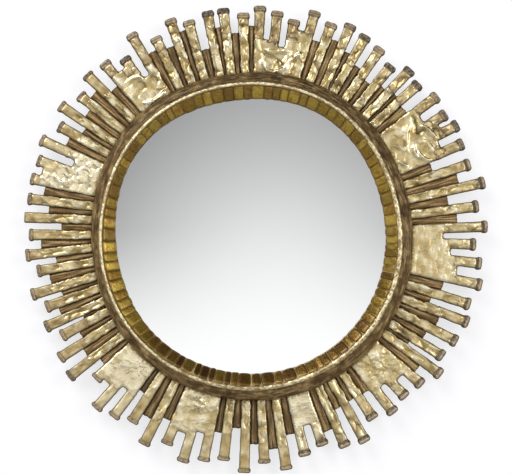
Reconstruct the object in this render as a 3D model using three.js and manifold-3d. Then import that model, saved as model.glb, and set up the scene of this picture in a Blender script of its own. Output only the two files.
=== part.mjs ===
// A round wall mirror in a gilded sunburst frame.
//
// A flat disc of mirror glass lies on a felt bed in the middle of a brown moulded star plate. Around it
// stands a brown collar, which carries a sloping ring of small mirror tiles on its inner ledge and a gilt
// bead on its crest. Seventy-four gilded fingers fan out from under the collar: most are single bars, some
// share a wide gilded panel, and a few of the closest stand in pairs. Between them the star plate rises in
// low webs. A wooden disc behind it all lies on the wall, with a pocket for a strap hanger and its loose
// steel ring.
//
// Millimetres. +Z is up, +X is to the right seen from the front, the front looks along -Y and the wall is
// y = 0. Everything is laid out flat first, in a face frame: x right, y up and z out of the wall. One group
// turns it.

import * as THREE from 'three';
import { mergeVertices } from 'three/addons/utils/BufferGeometryUtils.js';
import Module from 'manifold-3d';

const wasm = await Module();
wasm.setup();

// ---------- driving sizes ----------

// clearances between pieces that lie on or in each other
const seam = 0.3; // between two flat layers
const ringFit = 0.5; // between round pieces, which are many-sided here
const screwFit = 0.3; // around a screw and its shank
const pivotFit = 0.3; // around the hanger ring's bar in the eye of its strap

// the mirror glass and what holds its edge
const glassRadius = 187;
const glassThickness = 4;
const bedThickness = 5;
const bedInset = 4; // the felt stops this far inside the edge of the glass
const glassCover = 5.5; // how far the tiles reach in over the glass

// the ring of tiles, which slopes up from the glass to the crest
const tileCount = 92;
const tileRingWidth = 14.5;
const tileRingRise = 13;
const tileEdge = 1.4; // height of the tiles' thin edge on the glass
const tileJoint = 1.1; // width of the joint between two tiles at the crest
const tileJointDepth = 0.9;

// the collar: a foot on the star plate, a ledge under the tiles and a flank that covers the finger roots
const crestWidth = 5.4;
const footWidth = 16;
const flankWidth = 15.5;
const flankBulge = 1.8; // how far the flank swells beyond a straight slope

// the bead on the crest
const beadHeight = 2.6;
const beadOverhang = 0.3;

// the star: plate, fingers and the lips across their ends
const plateThickness = 5.5;
const fingerThickness = 5.5;
const rootWidth = 12;
const tipWidth = 14.4;
const fingerChamfer = 1.3;
const lipWidth = 16.8;
const lipLength = 7.6;
const lipRise = 1.2;
const webRise = 2.4; // how far a web stands up from the plate, between two fingers
const webGap = 0.5; // between a web and the finger beside it
const webInset = 2.5; // inside a panel the plate stops this far short of the gilt
const pairBridge = 6; // radial length of the strip that joins two close fingers under the collar
const fanReach = 100; // how far beyond the collar a finger of full reach would end

// the wooden back
const backThickness = 13;
const backInset = 17; // the back disc stops this far inside the collar's edge
const pocketDepth = 7.5;
const pocketMargin = 3; // free space round the hanger in its pocket
const hangerDrop = 50.4; // from the top of the back disc down to the ring's pivot

// the strap hanger: a steel strap with an eye, a D-shaped ring and two screws
const wireRadius = 1.5;
const ringReach = 12.5; // half the width of the D, and the radius of its bow, at the middle of the wire
const ringLeg = 7;
const eyeWall = 1.2;
const strapWidth = 14;
const strapThickness = 1.6;
const ringClear = 3.4; // between the hanging ring and the upper screw
const screwSpacing = 11;
const screwInset = 7; // from the lower screw to the strap's lower end
const shankRadius = 1.6;
const headRadius = 3.6;
const headHeight = 1.9;
const screwBite = 3.6; // how deep a screw goes into the wood
const slotWidth = 1;
const slotDepth = 0.8;

// how finely round things are divided
const ringSegments = 72;
const discSegments = 96;
const smallSegments = 16;
const bowSteps = 24;

// Every finger of the star, clockwise from the top, as read by eye. Each row is one finger:
// [degrees at its root, degrees at its tip, reach of its tip, reach of the web or gilt that fills the space
// after it], both reaches in hundredths of fanReach. Rows in one list are one piece: a panel, a pair or a
// single finger.
const star = {
  gilt_panel_1: [[2.2, 2.2, 92, 46.5], [6.7, 6.7, 87, 40], [11.3, 11.3, 79, 66.5], [15.9, 15.9, 97, 58.5]],
  ray_05: [[20.8, 20.8, 88.5, 68]],
  ray_pair_06: [[26.3, 25.3, 97, 60.5], [29.8, 29.8, 93, 50.5]],
  ray_08: [[34.6, 34.6, 89, 40.5]],
  ray_09: [[39.5, 39.5, 79, 48]],
  ray_pair_10: [[43.8, 43.8, 92, 52.5], [47.8, 47.8, 86.5, 48]],
  gilt_panel_2: [[53.1, 53.1, 95, 59], [58, 58, 90.5, 73], [61.8, 61.8, 97, 62.5], [66.5, 66.5, 92, 40]],
  ray_16: [[71.9, 71.9, 90.5, 68.5]],
  ray_17: [[77.2, 77.2, 102.5, 49]],
  ray_18: [[82.7, 82.7, 88.5, 58]],
  gilt_panel_3: [
    [87.9, 87.9, 98, 38.5], [92.4, 92.4, 82.5, 49], [97.1, 97.1, 92, 60.5], [102.3, 102.3, 97, 46],
  ],
  ray_23: [[107.7, 107.7, 88.5, 36]],
  ray_24: [[112.8, 112, 94.5, 56]],
  ray_25: [[117.5, 117.5, 91, 49]],
  ray_pair_26: [[122.5, 122.5, 85, 36.5], [126.5, 126.5, 96, 66]],
  gilt_panel_4: [[131.4, 131.4, 85, 56], [136.5, 136.5, 80.5, 48], [141.4, 141.4, 86, 41]],
  ray_31: [[146.5, 146.5, 76.5, 39]],
  ray_32: [[151.2, 151.2, 97, 40]],
  ray_33: [[156.1, 156.1, 91, 62]],
  gilt_panel_5: [[161.3, 161.3, 78.5, 46], [166.3, 166.3, 85, 52.5]],
  ray_36: [[171.5, 171.5, 98, 68.5]],
  ray_37: [[176.7, 176.7, 86.5, 60.5]],
  ray_38: [[181.7, 181.7, 98.5, 40]],
  ray_39: [[187, 187, 84.5, 48.5]],
  gilt_panel_6: [[191.9, 191.9, 90, 54], [196.8, 196.8, 98, 60.5], [202, 202, 83, 52]],
  ray_43: [[207.1, 207.1, 96, 61]],
  ray_44: [[212.5, 212.5, 78, 36.5]],
  gilt_panel_7: [[217.1, 217.1, 86.5, 46.5], [221.8, 221.8, 92.5, 56.5], [227.1, 227.1, 65, 42.5]],
  ray_48: [[232, 232, 90, 53]],
  ray_49: [[237.2, 237.2, 86, 45]],
  ray_pair_50: [[241.9, 241.9, 69, 31], [245.8, 245.8, 83, 56.5]],
  ray_52: [[250.6, 250.6, 72.5, 46]],
  ray_53: [[255.3, 254.7, 86, 56.5]],
  ray_54: [[260.4, 260.4, 72, 44.5]],
  ray_55: [[265.5, 264.8, 84.5, 63]],
  ray_56: [[270.1, 270.1, 79, 36]],
  ray_57: [[275.7, 274.5, 87, 54.5]],
  ray_58: [[280.5, 279.3, 85, 65]],
  gilt_panel_8: [[285.5, 284.5, 87, 75], [289.9, 289.4, 86, 39], [294.5, 294.5, 92.5, 58.5]],
  ray_62: [[299.7, 299.7, 79, 47]],
  ray_63: [[304.3, 304.3, 92.5, 56.5]],
  ray_64: [[309.3, 309.3, 80, 66.5]],
  ray_65: [[314.4, 314.4, 92, 52]],
  gilt_panel_9: [[319.6, 319.6, 88.5, 64.5], [324.4, 324.4, 76.5, 38.5], [329.2, 329.2, 99, 63]],
  ray_69: [[334.2, 334.2, 79, 58.5]],
  ray_70: [[338.5, 339.4, 94, 73]],
  ray_71: [[343.2, 343.7, 84, 40.5]],
  ray_pair_72: [[348.9, 348.9, 90.5, 66], [352.9, 352.9, 91, 56]],
  ray_74: [[357.9, 357.9, 82.5, 65]],
};

// ---------- levels out of the wall, and radii of the ring, that follow from the sizes ----------

const plateBack = backThickness + seam;
const plateFront = plateBack + plateThickness;
const fingerBack = plateFront + seam;
const fingerFront = fingerBack + fingerThickness;
const bedBack = plateFront + seam;
const glassBack = bedBack + bedThickness + seam;
const glassFront = glassBack + glassThickness;
const tileBack = glassFront + seam;
const crestFront = tileBack + tileRingRise + seam;

const tileInnerRadius = glassRadius - glassCover;
const tileOuterRadius = tileInnerRadius + tileRingWidth;
const crestInnerRadius = tileOuterRadius + ringFit;
const crestOuterRadius = crestInnerRadius + crestWidth;
const collarRadius = crestOuterRadius + flankWidth;
const footInnerRadius = glassRadius + ringFit;
const footOuterRadius = footInnerRadius + footWidth;
const rootRadius = footOuterRadius + ringFit;
const backRadius = collarRadius - backInset;
const hangerHeight = backRadius - hangerDrop;
const ringLength = ringLeg + ringReach + wireRadius; // all lengths along the strap start at the pivot
const upperScrew = ringLength + ringClear + headRadius;
const screwPlaces = [upperScrew, upperScrew + screwSpacing];
const strapLength = upperScrew + screwSpacing + screwInset;

// ---------- materials ----------

function finish(color, roughness, metalness) {
  return new THREE.MeshStandardMaterial({ color, roughness, metalness });
}

const gilt = finish(0xd2bf88, 0.38, 0.8);
const paleGilt = finish(0xdcc990, 0.35, 0.8);
const brownResin = finish(0x66523a, 0.7, 0.1);
const amberMirror = finish(0x8c7632, 0.2, 0.9);
const silverMirror = finish(0xe8e8ea, 0.03, 1);
const felt = finish(0x3a3833, 0.95, 0);
const plywood = finish(0xa98a5c, 0.7, 0);
const steel = finish(0xb4b2ac, 0.35, 0.9);

// ---------- solids ----------

// A closed geometry as a solid that can be joined and cut.
function solid(geometry) {
  const bare = geometry.clone();
  bare.deleteAttribute('normal');
  bare.deleteAttribute('uv');
  const merged = mergeVertices(bare);
  return new wasm.Manifold(new wasm.Mesh({
    numProp: 3,
    vertProperties: merged.getAttribute('position').array,
    triVerts: new Uint32Array(merged.index.array),
  }));
}

// A solid as a geometry again.
function geometryOf(body) {
  const mesh = body.getMesh();
  const geometry = new THREE.BufferGeometry();
  geometry.setAttribute('position', new THREE.BufferAttribute(new Float32Array(mesh.vertProperties), 3));
  geometry.setIndex(new THREE.BufferAttribute(new Uint32Array(mesh.triVerts), 1));
  geometry.computeVertexNormals();
  return geometry;
}

function joined(geometries) {
  if (geometries.length === 1) return geometries[0];
  return geometryOf(geometries.map(solid).reduce((whole, piece) => whole.add(piece)));
}

function cut(geometry, tools) {
  return geometryOf(tools.map(solid).reduce((rest, tool) => rest.subtract(tool), solid(geometry)));
}

// A flat outline, from one level out of the wall to another.
function slab(points, back, front) {
  const outline = new THREE.Shape(points);
  const geometry = new THREE.ExtrudeGeometry(outline, { depth: front - back, bevelEnabled: false });
  return geometry.translate(0, 0, back);
}

// The corners of an upright rectangle about the middle of the face.
function rectangle(halfWidth, bottom, top) {
  const corners = [[-halfWidth, bottom], [halfWidth, bottom], [halfWidth, top], [-halfWidth, top]];
  return corners.map(([x, y]) => new THREE.Vector2(x, y));
}

// A disc or a short post, from one level to another.
function disc(radius, back, front, segments) {
  const geometry = new THREE.CylinderGeometry(radius, radius, front - back, segments);
  return geometry.rotateX(Math.PI / 2).translate(0, 0, (back + front) / 2);
}

// A ring turned from a closed profile of [radius, level] points, its outer side going up.
function turned(profile, segments) {
  const points = [...profile, profile[0]].map(([radius, level]) => new THREE.Vector2(radius, level));
  return new THREE.LatheGeometry(points, segments).rotateX(Math.PI / 2);
}

// A closed surface through rings of points: each ring has as many points as the next one.
// Without a start and an end it closes on itself, like a hoop; otherwise both ends are capped.
function skin(rings, hoop = false) {
  const positions = rings.flat().flatMap((point) => point.toArray());
  const index = [];
  const around = rings[0].length;
  const spans = hoop ? rings.length : rings.length - 1;
  for (let span = 0; span < spans; span += 1) {
    const here = span * around;
    const there = ((span + 1) % rings.length) * around;
    for (let side = 0; side < around; side += 1) {
      const next = (side + 1) % around;
      index.push(here + side, there + next, here + next);
      index.push(here + side, there + side, there + next);
    }
  }
  if (!hoop) {
    const last = (rings.length - 1) * around;
    for (let side = 1; side < around - 1; side += 1) {
      index.push(0, side, side + 1);
      index.push(last, last + side + 1, last + side);
    }
  }
  const geometry = new THREE.BufferGeometry();
  geometry.setAttribute('position', new THREE.Float32BufferAttribute(positions, 3));
  geometry.setIndex(index);
  geometry.computeVertexNormals();
  return geometry;
}

// ---------- the star ----------

// A point on the face, by clockwise degrees from the top and radius.
function onFace(degrees, radius) {
  const angle = THREE.MathUtils.degToRad(degrees);
  return [radius * Math.sin(angle), radius * Math.cos(angle)];
}

// The radius that a reach in hundredths leads to.
function reached(hundredths) {
  return collarRadius + (fanReach * hundredths) / 100;
}

// How a finger lies: its root under the collar, its tip, the way across it clockwise, and the point on its
// middle line at any radius.
function courseOf([rootDegrees, tipDegrees, tipReach]) {
  const tipRadius = reached(tipReach);
  const root = new THREE.Vector2(...onFace(rootDegrees, rootRadius));
  const tip = new THREE.Vector2(...onFace(tipDegrees, tipRadius));
  const heading = tip.clone().sub(root).normalize();
  const across = new THREE.Vector2(heading.y, -heading.x);
  const at = (radius) => root.clone().lerp(tip, (radius - rootRadius) / (tipRadius - rootRadius));
  return { root, tip, across, at };
}

// One finger: a bar with chamfered upper edges that widens a little outwards, and a raised lip across its
// end.
function finger(row) {
  const { root, tip } = courseOf(row);
  const length = root.distanceTo(tip);
  const section = (along, width, front, chamfer) => [
    new THREE.Vector3(-width / 2, along, fingerBack),
    new THREE.Vector3(width / 2, along, fingerBack),
    new THREE.Vector3(width / 2, along, front - chamfer),
    new THREE.Vector3(width / 2 - chamfer, along, front),
    new THREE.Vector3(-width / 2 + chamfer, along, front),
    new THREE.Vector3(-width / 2, along, front - chamfer),
  ];
  const lipStart = length - lipLength;
  const lipFront = fingerFront + lipRise;
  const bar = skin([
    section(0, rootWidth, fingerFront, fingerChamfer),
    section(lipStart, tipWidth, fingerFront, fingerChamfer),
    section(lipStart + lipRise, lipWidth, lipFront, fingerChamfer),
    section(length - lipRise, lipWidth, lipFront, fingerChamfer),
    section(length, tipWidth, lipFront - lipRise, fingerChamfer),
  ]);
  bar.rotateZ(Math.atan2(-(tip.x - root.x), tip.y - root.y));
  return bar.translate(root.x, root.y, 0);
}

// The gilt between two neighbouring fingers of one piece, out to a radius.
function gusset(here, there, radius, back = fingerBack, front = fingerFront) {
  const first = courseOf(here);
  const second = courseOf(there);
  return slab([first.root, first.at(radius), second.at(radius), second.root], back, front);
}

// One gilded piece of the star: its fingers, and what joins each to the next.
function starPiece(name, rows) {
  const bars = rows.map(finger);
  const pair = name.startsWith('ray_pair');
  const gussets = rows.slice(1).map((row, i) => {
    const radius = pair ? rootRadius + pairBridge : reached(rows[i][3]);
    return gusset(rows[i], row, radius);
  });
  return joined([...bars, ...gussets]);
}

// The brown plate behind the fingers, cut off between each finger and the next at its own radius. It is as
// thick as its webs are high: trenches for the fingers, the panels and the hub leave the webs standing.
function starPlate() {
  const outline = [];
  const trenches = [disc(rootRadius + pairBridge + webGap, plateFront, fingerFront, ringSegments)];
  const spaces = Object.entries(star).flatMap(([name, rows]) => rows.map((row, i) => {
    const inPanel = name.startsWith('gilt_panel') && i < rows.length - 1;
    return { row, inPanel };
  }));
  spaces.forEach(({ row, inPanel }, i) => {
    const next = spaces[(i + 1) % spaces.length].row;
    const radius = reached(row[3]);
    const end = inPanel ? radius - webInset : radius;
    outline.push(courseOf(row).at(end), courseOf(next).at(end));
    trenches.push(fingerTrench(row));
    if (inPanel) trenches.push(gusset(row, next, radius, plateFront));
  });
  return cut(slab(outline, plateBack, plateFront + webRise), trenches);
}

// The room that one finger takes up above the plate, with a little to spare on both sides.
function fingerTrench(row) {
  const { root, tip, across } = courseOf(row);
  const beside = (point, halfWidth) => point.clone().addScaledVector(across, halfWidth);
  const atRoot = rootWidth / 2 + webGap;
  const atTip = tipWidth / 2 + webGap;
  const corners = [beside(root, -atRoot), beside(tip, -atTip), beside(tip, atTip), beside(root, atRoot)];
  return slab(corners, plateFront, fingerFront);
}

// ---------- the ring round the glass ----------

// The tiles stand on one sloping bed, with a shallow joint between each and the next.
function tileRing() {
  const pitch = (2 * Math.PI) / tileCount;
  const halfJoint = tileJoint / 2 / tileOuterRadius;
  const profile = (angle, sunk) => [
    [tileInnerRadius + sunk, tileBack],
    [tileOuterRadius, tileBack],
    [tileOuterRadius, tileBack + tileRingRise - sunk],
    [tileInnerRadius + sunk, tileBack + tileEdge - sunk / 2],
  ].map(([radius, level]) => new THREE.Vector3(radius * Math.cos(angle), radius * Math.sin(angle), level));
  const rings = [];
  for (let tile = 0; tile < tileCount; tile += 1) {
    rings.push(profile(tile * pitch, tileJointDepth));
    rings.push(profile(tile * pitch + halfJoint, 0));
    rings.push(profile((tile + 1) * pitch - halfJoint, 0));
  }
  return skin(rings, true);
}

function collar() {
  const flankBack = fingerFront + seam;
  const flankMiddle = [(crestOuterRadius + collarRadius) / 2, (flankBack + crestFront) / 2];
  return turned([
    [footInnerRadius, bedBack],
    [footOuterRadius, bedBack],
    [footOuterRadius, flankBack],
    [collarRadius, flankBack],
    [collarRadius, flankBack + flankBulge],
    [flankMiddle[0] + flankBulge, flankMiddle[1] + flankBulge],
    [crestOuterRadius, crestFront],
    [crestInnerRadius, crestFront],
    [crestInnerRadius, glassFront],
    [footInnerRadius, glassFront],
  ], ringSegments);
}

function bead() {
  const back = crestFront + seam;
  const inner = crestInnerRadius - beadOverhang;
  const outer = crestOuterRadius + beadOverhang;
  const round = beadHeight / 2;
  return turned([
    [crestInnerRadius, back],
    [crestOuterRadius, back],
    [outer, back + round],
    [outer - round, back + beadHeight],
    [inner + round, back + beadHeight],
    [inner, back + round],
  ], ringSegments);
}

// ---------- the hanger in its pocket ----------

// Levels in the pocket are counted back towards the wall from its floor.
const pocketFloor = pocketDepth;
const strapFront = pocketFloor - seam;
const strapBack = strapFront - strapThickness;
const boreRadius = wireRadius + pivotFit;
const eyeRadius = boreRadius + eyeWall;
const pivotLevel = strapBack - boreRadius - seam;

// The pocket is long enough for the ring to lie flat both hanging down and standing up.
function pocket() {
  const halfWidth = ringReach + wireRadius + pocketMargin;
  const top = hangerHeight + ringLength + pocketMargin;
  const bottom = hangerHeight - strapLength - pocketMargin;
  return slab(rectangle(halfWidth, bottom, top), -pocketMargin, pocketFloor);
}

function backBoard() {
  const pilots = screwPlaces.map((place) => {
    const bottom = strapFront + screwBite + screwFit;
    const hole = disc(shankRadius + screwFit, pocketFloor - seam, bottom, smallSegments);
    return hole.translate(0, hangerHeight - place, 0);
  });
  const board = disc(backRadius, 0, backThickness, discSegments);
  return cut(board, [pocket(), ...pilots]);
}

function strap() {
  const outline = rectangle(strapWidth / 2, hangerHeight - strapLength, hangerHeight);
  const plate = slab(outline, strapBack, strapFront);
  const eyeOutline = new THREE.Shape().absarc(0, 0, eyeRadius, 0, 2 * Math.PI);
  eyeOutline.holes.push(new THREE.Path().absarc(0, 0, boreRadius, 0, 2 * Math.PI));
  const eye = new THREE.ExtrudeGeometry(eyeOutline, {
    depth: strapWidth,
    bevelEnabled: false,
    curveSegments: smallSegments,
  });
  eye.translate(0, 0, -strapWidth / 2).rotateY(Math.PI / 2).translate(0, hangerHeight, pivotLevel);
  const holes = screwPlaces.map((place) => {
    const hole = disc(shankRadius + screwFit, strapBack - seam, strapFront + seam, smallSegments);
    return hole.translate(0, hangerHeight - place, 0);
  });
  return cut(joined([plate, eye]), holes);
}

// The middle of the D's wire: down one leg, round the bow and up the other leg.
class BowPath extends THREE.Curve {
  getPoint(share, target = new THREE.Vector3()) {
    const bowLength = Math.PI * ringReach;
    const along = share * (2 * ringLeg + bowLength);
    if (along < ringLeg) return target.set(ringReach, -along, 0);
    if (along > ringLeg + bowLength) return target.set(-ringReach, along - bowLength - 2 * ringLeg, 0);
    const angle = (along - ringLeg) / ringReach;
    return target.set(ringReach * Math.cos(angle), -ringLeg - ringReach * Math.sin(angle), 0);
  }
}

// The D: a straight bar through the eye, two short legs and a round bow, hanging down.
function hangerRing() {
  const section = new THREE.Shape().absarc(0, 0, wireRadius, 0, 2 * Math.PI);
  const loop = new THREE.ExtrudeGeometry(section, {
    steps: bowSteps,
    extrudePath: new BowPath(),
    curveSegments: smallSegments / 2,
  });
  const barLength = 2 * (ringReach + wireRadius);
  const bar = new THREE.CylinderGeometry(wireRadius, wireRadius, barLength, smallSegments).rotateZ(Math.PI / 2);
  return joined([bar, loop]);
}

function screw() {
  const head = disc(headRadius, -headHeight, 0, smallSegments);
  const shank = disc(shankRadius, -headHeight / 2, seam + strapThickness + screwBite, smallSegments / 2);
  const slot = new THREE.BoxGeometry(2 * headRadius + slotWidth, slotWidth, 2 * slotDepth);
  slot.translate(0, 0, -headHeight);
  return cut(joined([head, shank]), [slot]);
}

// ---------- the whole mirror ----------

const face = new THREE.Group();
face.rotation.x = Math.PI / 2;

function place(name, geometry, material, x = 0, y = 0, z = 0) {
  const mesh = new THREE.Mesh(geometry, material);
  mesh.name = name;
  mesh.position.set(x, y, z);
  face.add(mesh);
}

place('back_board', backBoard(), plywood);
place('ray_plate', starPlate(), brownResin);
for (const [name, rows] of Object.entries(star)) place(name, starPiece(name, rows), gilt);
place('glass_bed', disc(glassRadius - bedInset, bedBack, bedBack + bedThickness, discSegments), felt);
place('mirror_glass', disc(glassRadius, glassBack, glassFront, discSegments), silverMirror);
place('collar', collar(), brownResin);
place('mosaic_ring', tileRing(), amberMirror);
place('gilt_bead', bead(), paleGilt);
place('hanger_strap', strap(), steel);
place('hanger_ring', hangerRing(), steel, 0, hangerHeight, pivotLevel);
screwPlaces.forEach((along, i) => {
  place(`strap_screw_${i + 1}`, screw(), steel, 0, hangerHeight - along, strapBack - seam);
});

const mirror = new THREE.Group();
mirror.add(face);

export default mirror;
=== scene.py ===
"""A round wall mirror in a gilded sunburst frame, dressed for its picture.

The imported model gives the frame. Every gilded finger and panel is a relief worked out on a grid: a plaque
with a rounded rim, crushed leaf on its face, a matt stub beyond it and a pill-shaped lip across its end.
Streaked webs fill the spaces between them. The collar and the bead are turned bands with a worked surface,
and the sloping ring is laid with single glass tiles. Lengths are worked out in millimetres in the face
frame of the model's source (x right, y up, z out of the wall) and put into each mesh in metres, in the
model's own frame.
"""

import math

import bpy
import numpy as np
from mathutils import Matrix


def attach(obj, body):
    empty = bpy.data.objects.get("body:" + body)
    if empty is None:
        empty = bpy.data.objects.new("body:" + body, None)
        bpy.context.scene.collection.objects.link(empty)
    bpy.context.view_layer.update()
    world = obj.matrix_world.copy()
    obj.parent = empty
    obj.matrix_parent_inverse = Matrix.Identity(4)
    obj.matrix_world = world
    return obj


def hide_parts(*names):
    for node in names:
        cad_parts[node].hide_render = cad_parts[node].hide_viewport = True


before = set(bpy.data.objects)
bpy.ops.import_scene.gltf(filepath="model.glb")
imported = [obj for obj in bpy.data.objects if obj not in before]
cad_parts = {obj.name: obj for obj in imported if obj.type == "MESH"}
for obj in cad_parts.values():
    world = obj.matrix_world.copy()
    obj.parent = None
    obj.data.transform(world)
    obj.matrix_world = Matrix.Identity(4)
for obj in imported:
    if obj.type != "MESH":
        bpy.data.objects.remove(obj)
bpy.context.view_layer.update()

# ---------- sizes of the model, in millimetres ----------

PLATE_FRONT = 18.8
WEB_FRONT = 21.2
FINGER_BACK = 19.1
FINGER_FRONT = 24.6
GLASS_FRONT = 28.4
TILE_BACK = 28.7
CREST_FRONT = 42.0
BEAD_BACK = 42.3
BEAD_HEIGHT = 2.6

TILE_INNER = 181.5
TILE_OUTER = 196.0
TILE_RISE = 13.0
TILE_EDGE = 1.4
TILE_COUNT = 92
TILE_GAP = 0.4
TILE_MIDDLE = 189.0
CREST_INNER = 196.5
CREST_OUTER = 201.9
FOOT_INNER = 187.5
FOOT_OUTER = 203.5
COLLAR_RADIUS = 217.4
ROOT_RADIUS = FOOT_OUTER + 0.5

ROOT_WIDTH = 12.0
TIP_WIDTH = 14.4
LIP_WIDTH = 16.8
LIP_LENGTH = 7.6
FAN_REACH = 100.0
BRIDGE = 6.0

# How finely the pieces are worked: millimetres from one grid line to the next, and steps round the ring.
GILDED_STEP = 0.9
WEB_STEP = 0.8
COLLAR_TURNS = 1120
BEAD_TURNS = 1200
BED_TURNS = 368
NOISE_TABLE = 64

# Every finger, clockwise from the top: degrees at root and tip, reach of the tip, and reach of the web or
# gilt after it, in hundredths of FAN_REACH beyond the collar. These are the rows of the model's source.
STAR = {
    "gilt_panel_1": [
        [2.2, 2.2, 92, 46.5], [6.7, 6.7, 87, 40], [11.3, 11.3, 79, 66.5], [15.9, 15.9, 97, 58.5],
    ],
    "ray_05": [[20.8, 20.8, 88.5, 68]],
    "ray_pair_06": [[26.3, 25.3, 97, 60.5], [29.8, 29.8, 93, 50.5]],
    "ray_08": [[34.6, 34.6, 89, 40.5]],
    "ray_09": [[39.5, 39.5, 79, 48]],
    "ray_pair_10": [[43.8, 43.8, 92, 52.5], [47.8, 47.8, 86.5, 48]],
    "gilt_panel_2": [[53.1, 53.1, 95, 59], [58, 58, 90.5, 73], [61.8, 61.8, 97, 62.5], [66.5, 66.5, 92, 40]],
    "ray_16": [[71.9, 71.9, 90.5, 68.5]],
    "ray_17": [[77.2, 77.2, 102.5, 49]],
    "ray_18": [[82.7, 82.7, 88.5, 58]],
    "gilt_panel_3": [
        [87.9, 87.9, 98, 38.5], [92.4, 92.4, 82.5, 49], [97.1, 97.1, 92, 60.5], [102.3, 102.3, 97, 46],
    ],
    "ray_23": [[107.7, 107.7, 88.5, 36]],
    "ray_24": [[112.8, 112, 94.5, 56]],
    "ray_25": [[117.5, 117.5, 91, 49]],
    "ray_pair_26": [[122.5, 122.5, 85, 36.5], [126.5, 126.5, 96, 66]],
    "gilt_panel_4": [[131.4, 131.4, 85, 56], [136.5, 136.5, 80.5, 48], [141.4, 141.4, 86, 41]],
    "ray_31": [[146.5, 146.5, 76.5, 39]],
    "ray_32": [[151.2, 151.2, 97, 40]],
    "ray_33": [[156.1, 156.1, 91, 62]],
    "gilt_panel_5": [[161.3, 161.3, 78.5, 46], [166.3, 166.3, 85, 52.5]],
    "ray_36": [[171.5, 171.5, 98, 68.5]],
    "ray_37": [[176.7, 176.7, 86.5, 60.5]],
    "ray_38": [[181.7, 181.7, 98.5, 40]],
    "ray_39": [[187, 187, 84.5, 48.5]],
    "gilt_panel_6": [[191.9, 191.9, 90, 54], [196.8, 196.8, 98, 60.5], [202, 202, 83, 52]],
    "ray_43": [[207.1, 207.1, 96, 61]],
    "ray_44": [[212.5, 212.5, 78, 36.5]],
    "gilt_panel_7": [[217.1, 217.1, 86.5, 46.5], [221.8, 221.8, 92.5, 56.5], [227.1, 227.1, 65, 42.5]],
    "ray_48": [[232, 232, 90, 53]],
    "ray_49": [[237.2, 237.2, 86, 45]],
    "ray_pair_50": [[241.9, 241.9, 69, 31], [245.8, 245.8, 83, 56.5]],
    "ray_52": [[250.6, 250.6, 72.5, 46]],
    "ray_53": [[255.3, 254.7, 86, 56.5]],
    "ray_54": [[260.4, 260.4, 72, 44.5]],
    "ray_55": [[265.5, 264.8, 84.5, 63]],
    "ray_56": [[270.1, 270.1, 79, 36]],
    "ray_57": [[275.7, 274.5, 87, 54.5]],
    "ray_58": [[280.5, 279.3, 85, 65]],
    "gilt_panel_8": [[285.5, 284.5, 87, 75], [289.9, 289.4, 86, 39], [294.5, 294.5, 92.5, 58.5]],
    "ray_62": [[299.7, 299.7, 79, 47]],
    "ray_63": [[304.3, 304.3, 92.5, 56.5]],
    "ray_64": [[309.3, 309.3, 80, 66.5]],
    "ray_65": [[314.4, 314.4, 92, 52]],
    "gilt_panel_9": [[319.6, 319.6, 88.5, 64.5], [324.4, 324.4, 76.5, 38.5], [329.2, 329.2, 99, 63]],
    "ray_69": [[334.2, 334.2, 79, 58.5]],
    "ray_70": [[338.5, 339.4, 94, 73]],
    "ray_71": [[343.2, 343.7, 84, 40.5]],
    "ray_pair_72": [[348.9, 348.9, 90.5, 66], [352.9, 352.9, 91, 56]],
    "ray_74": [[357.9, 357.9, 82.5, 65]],
}

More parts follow.
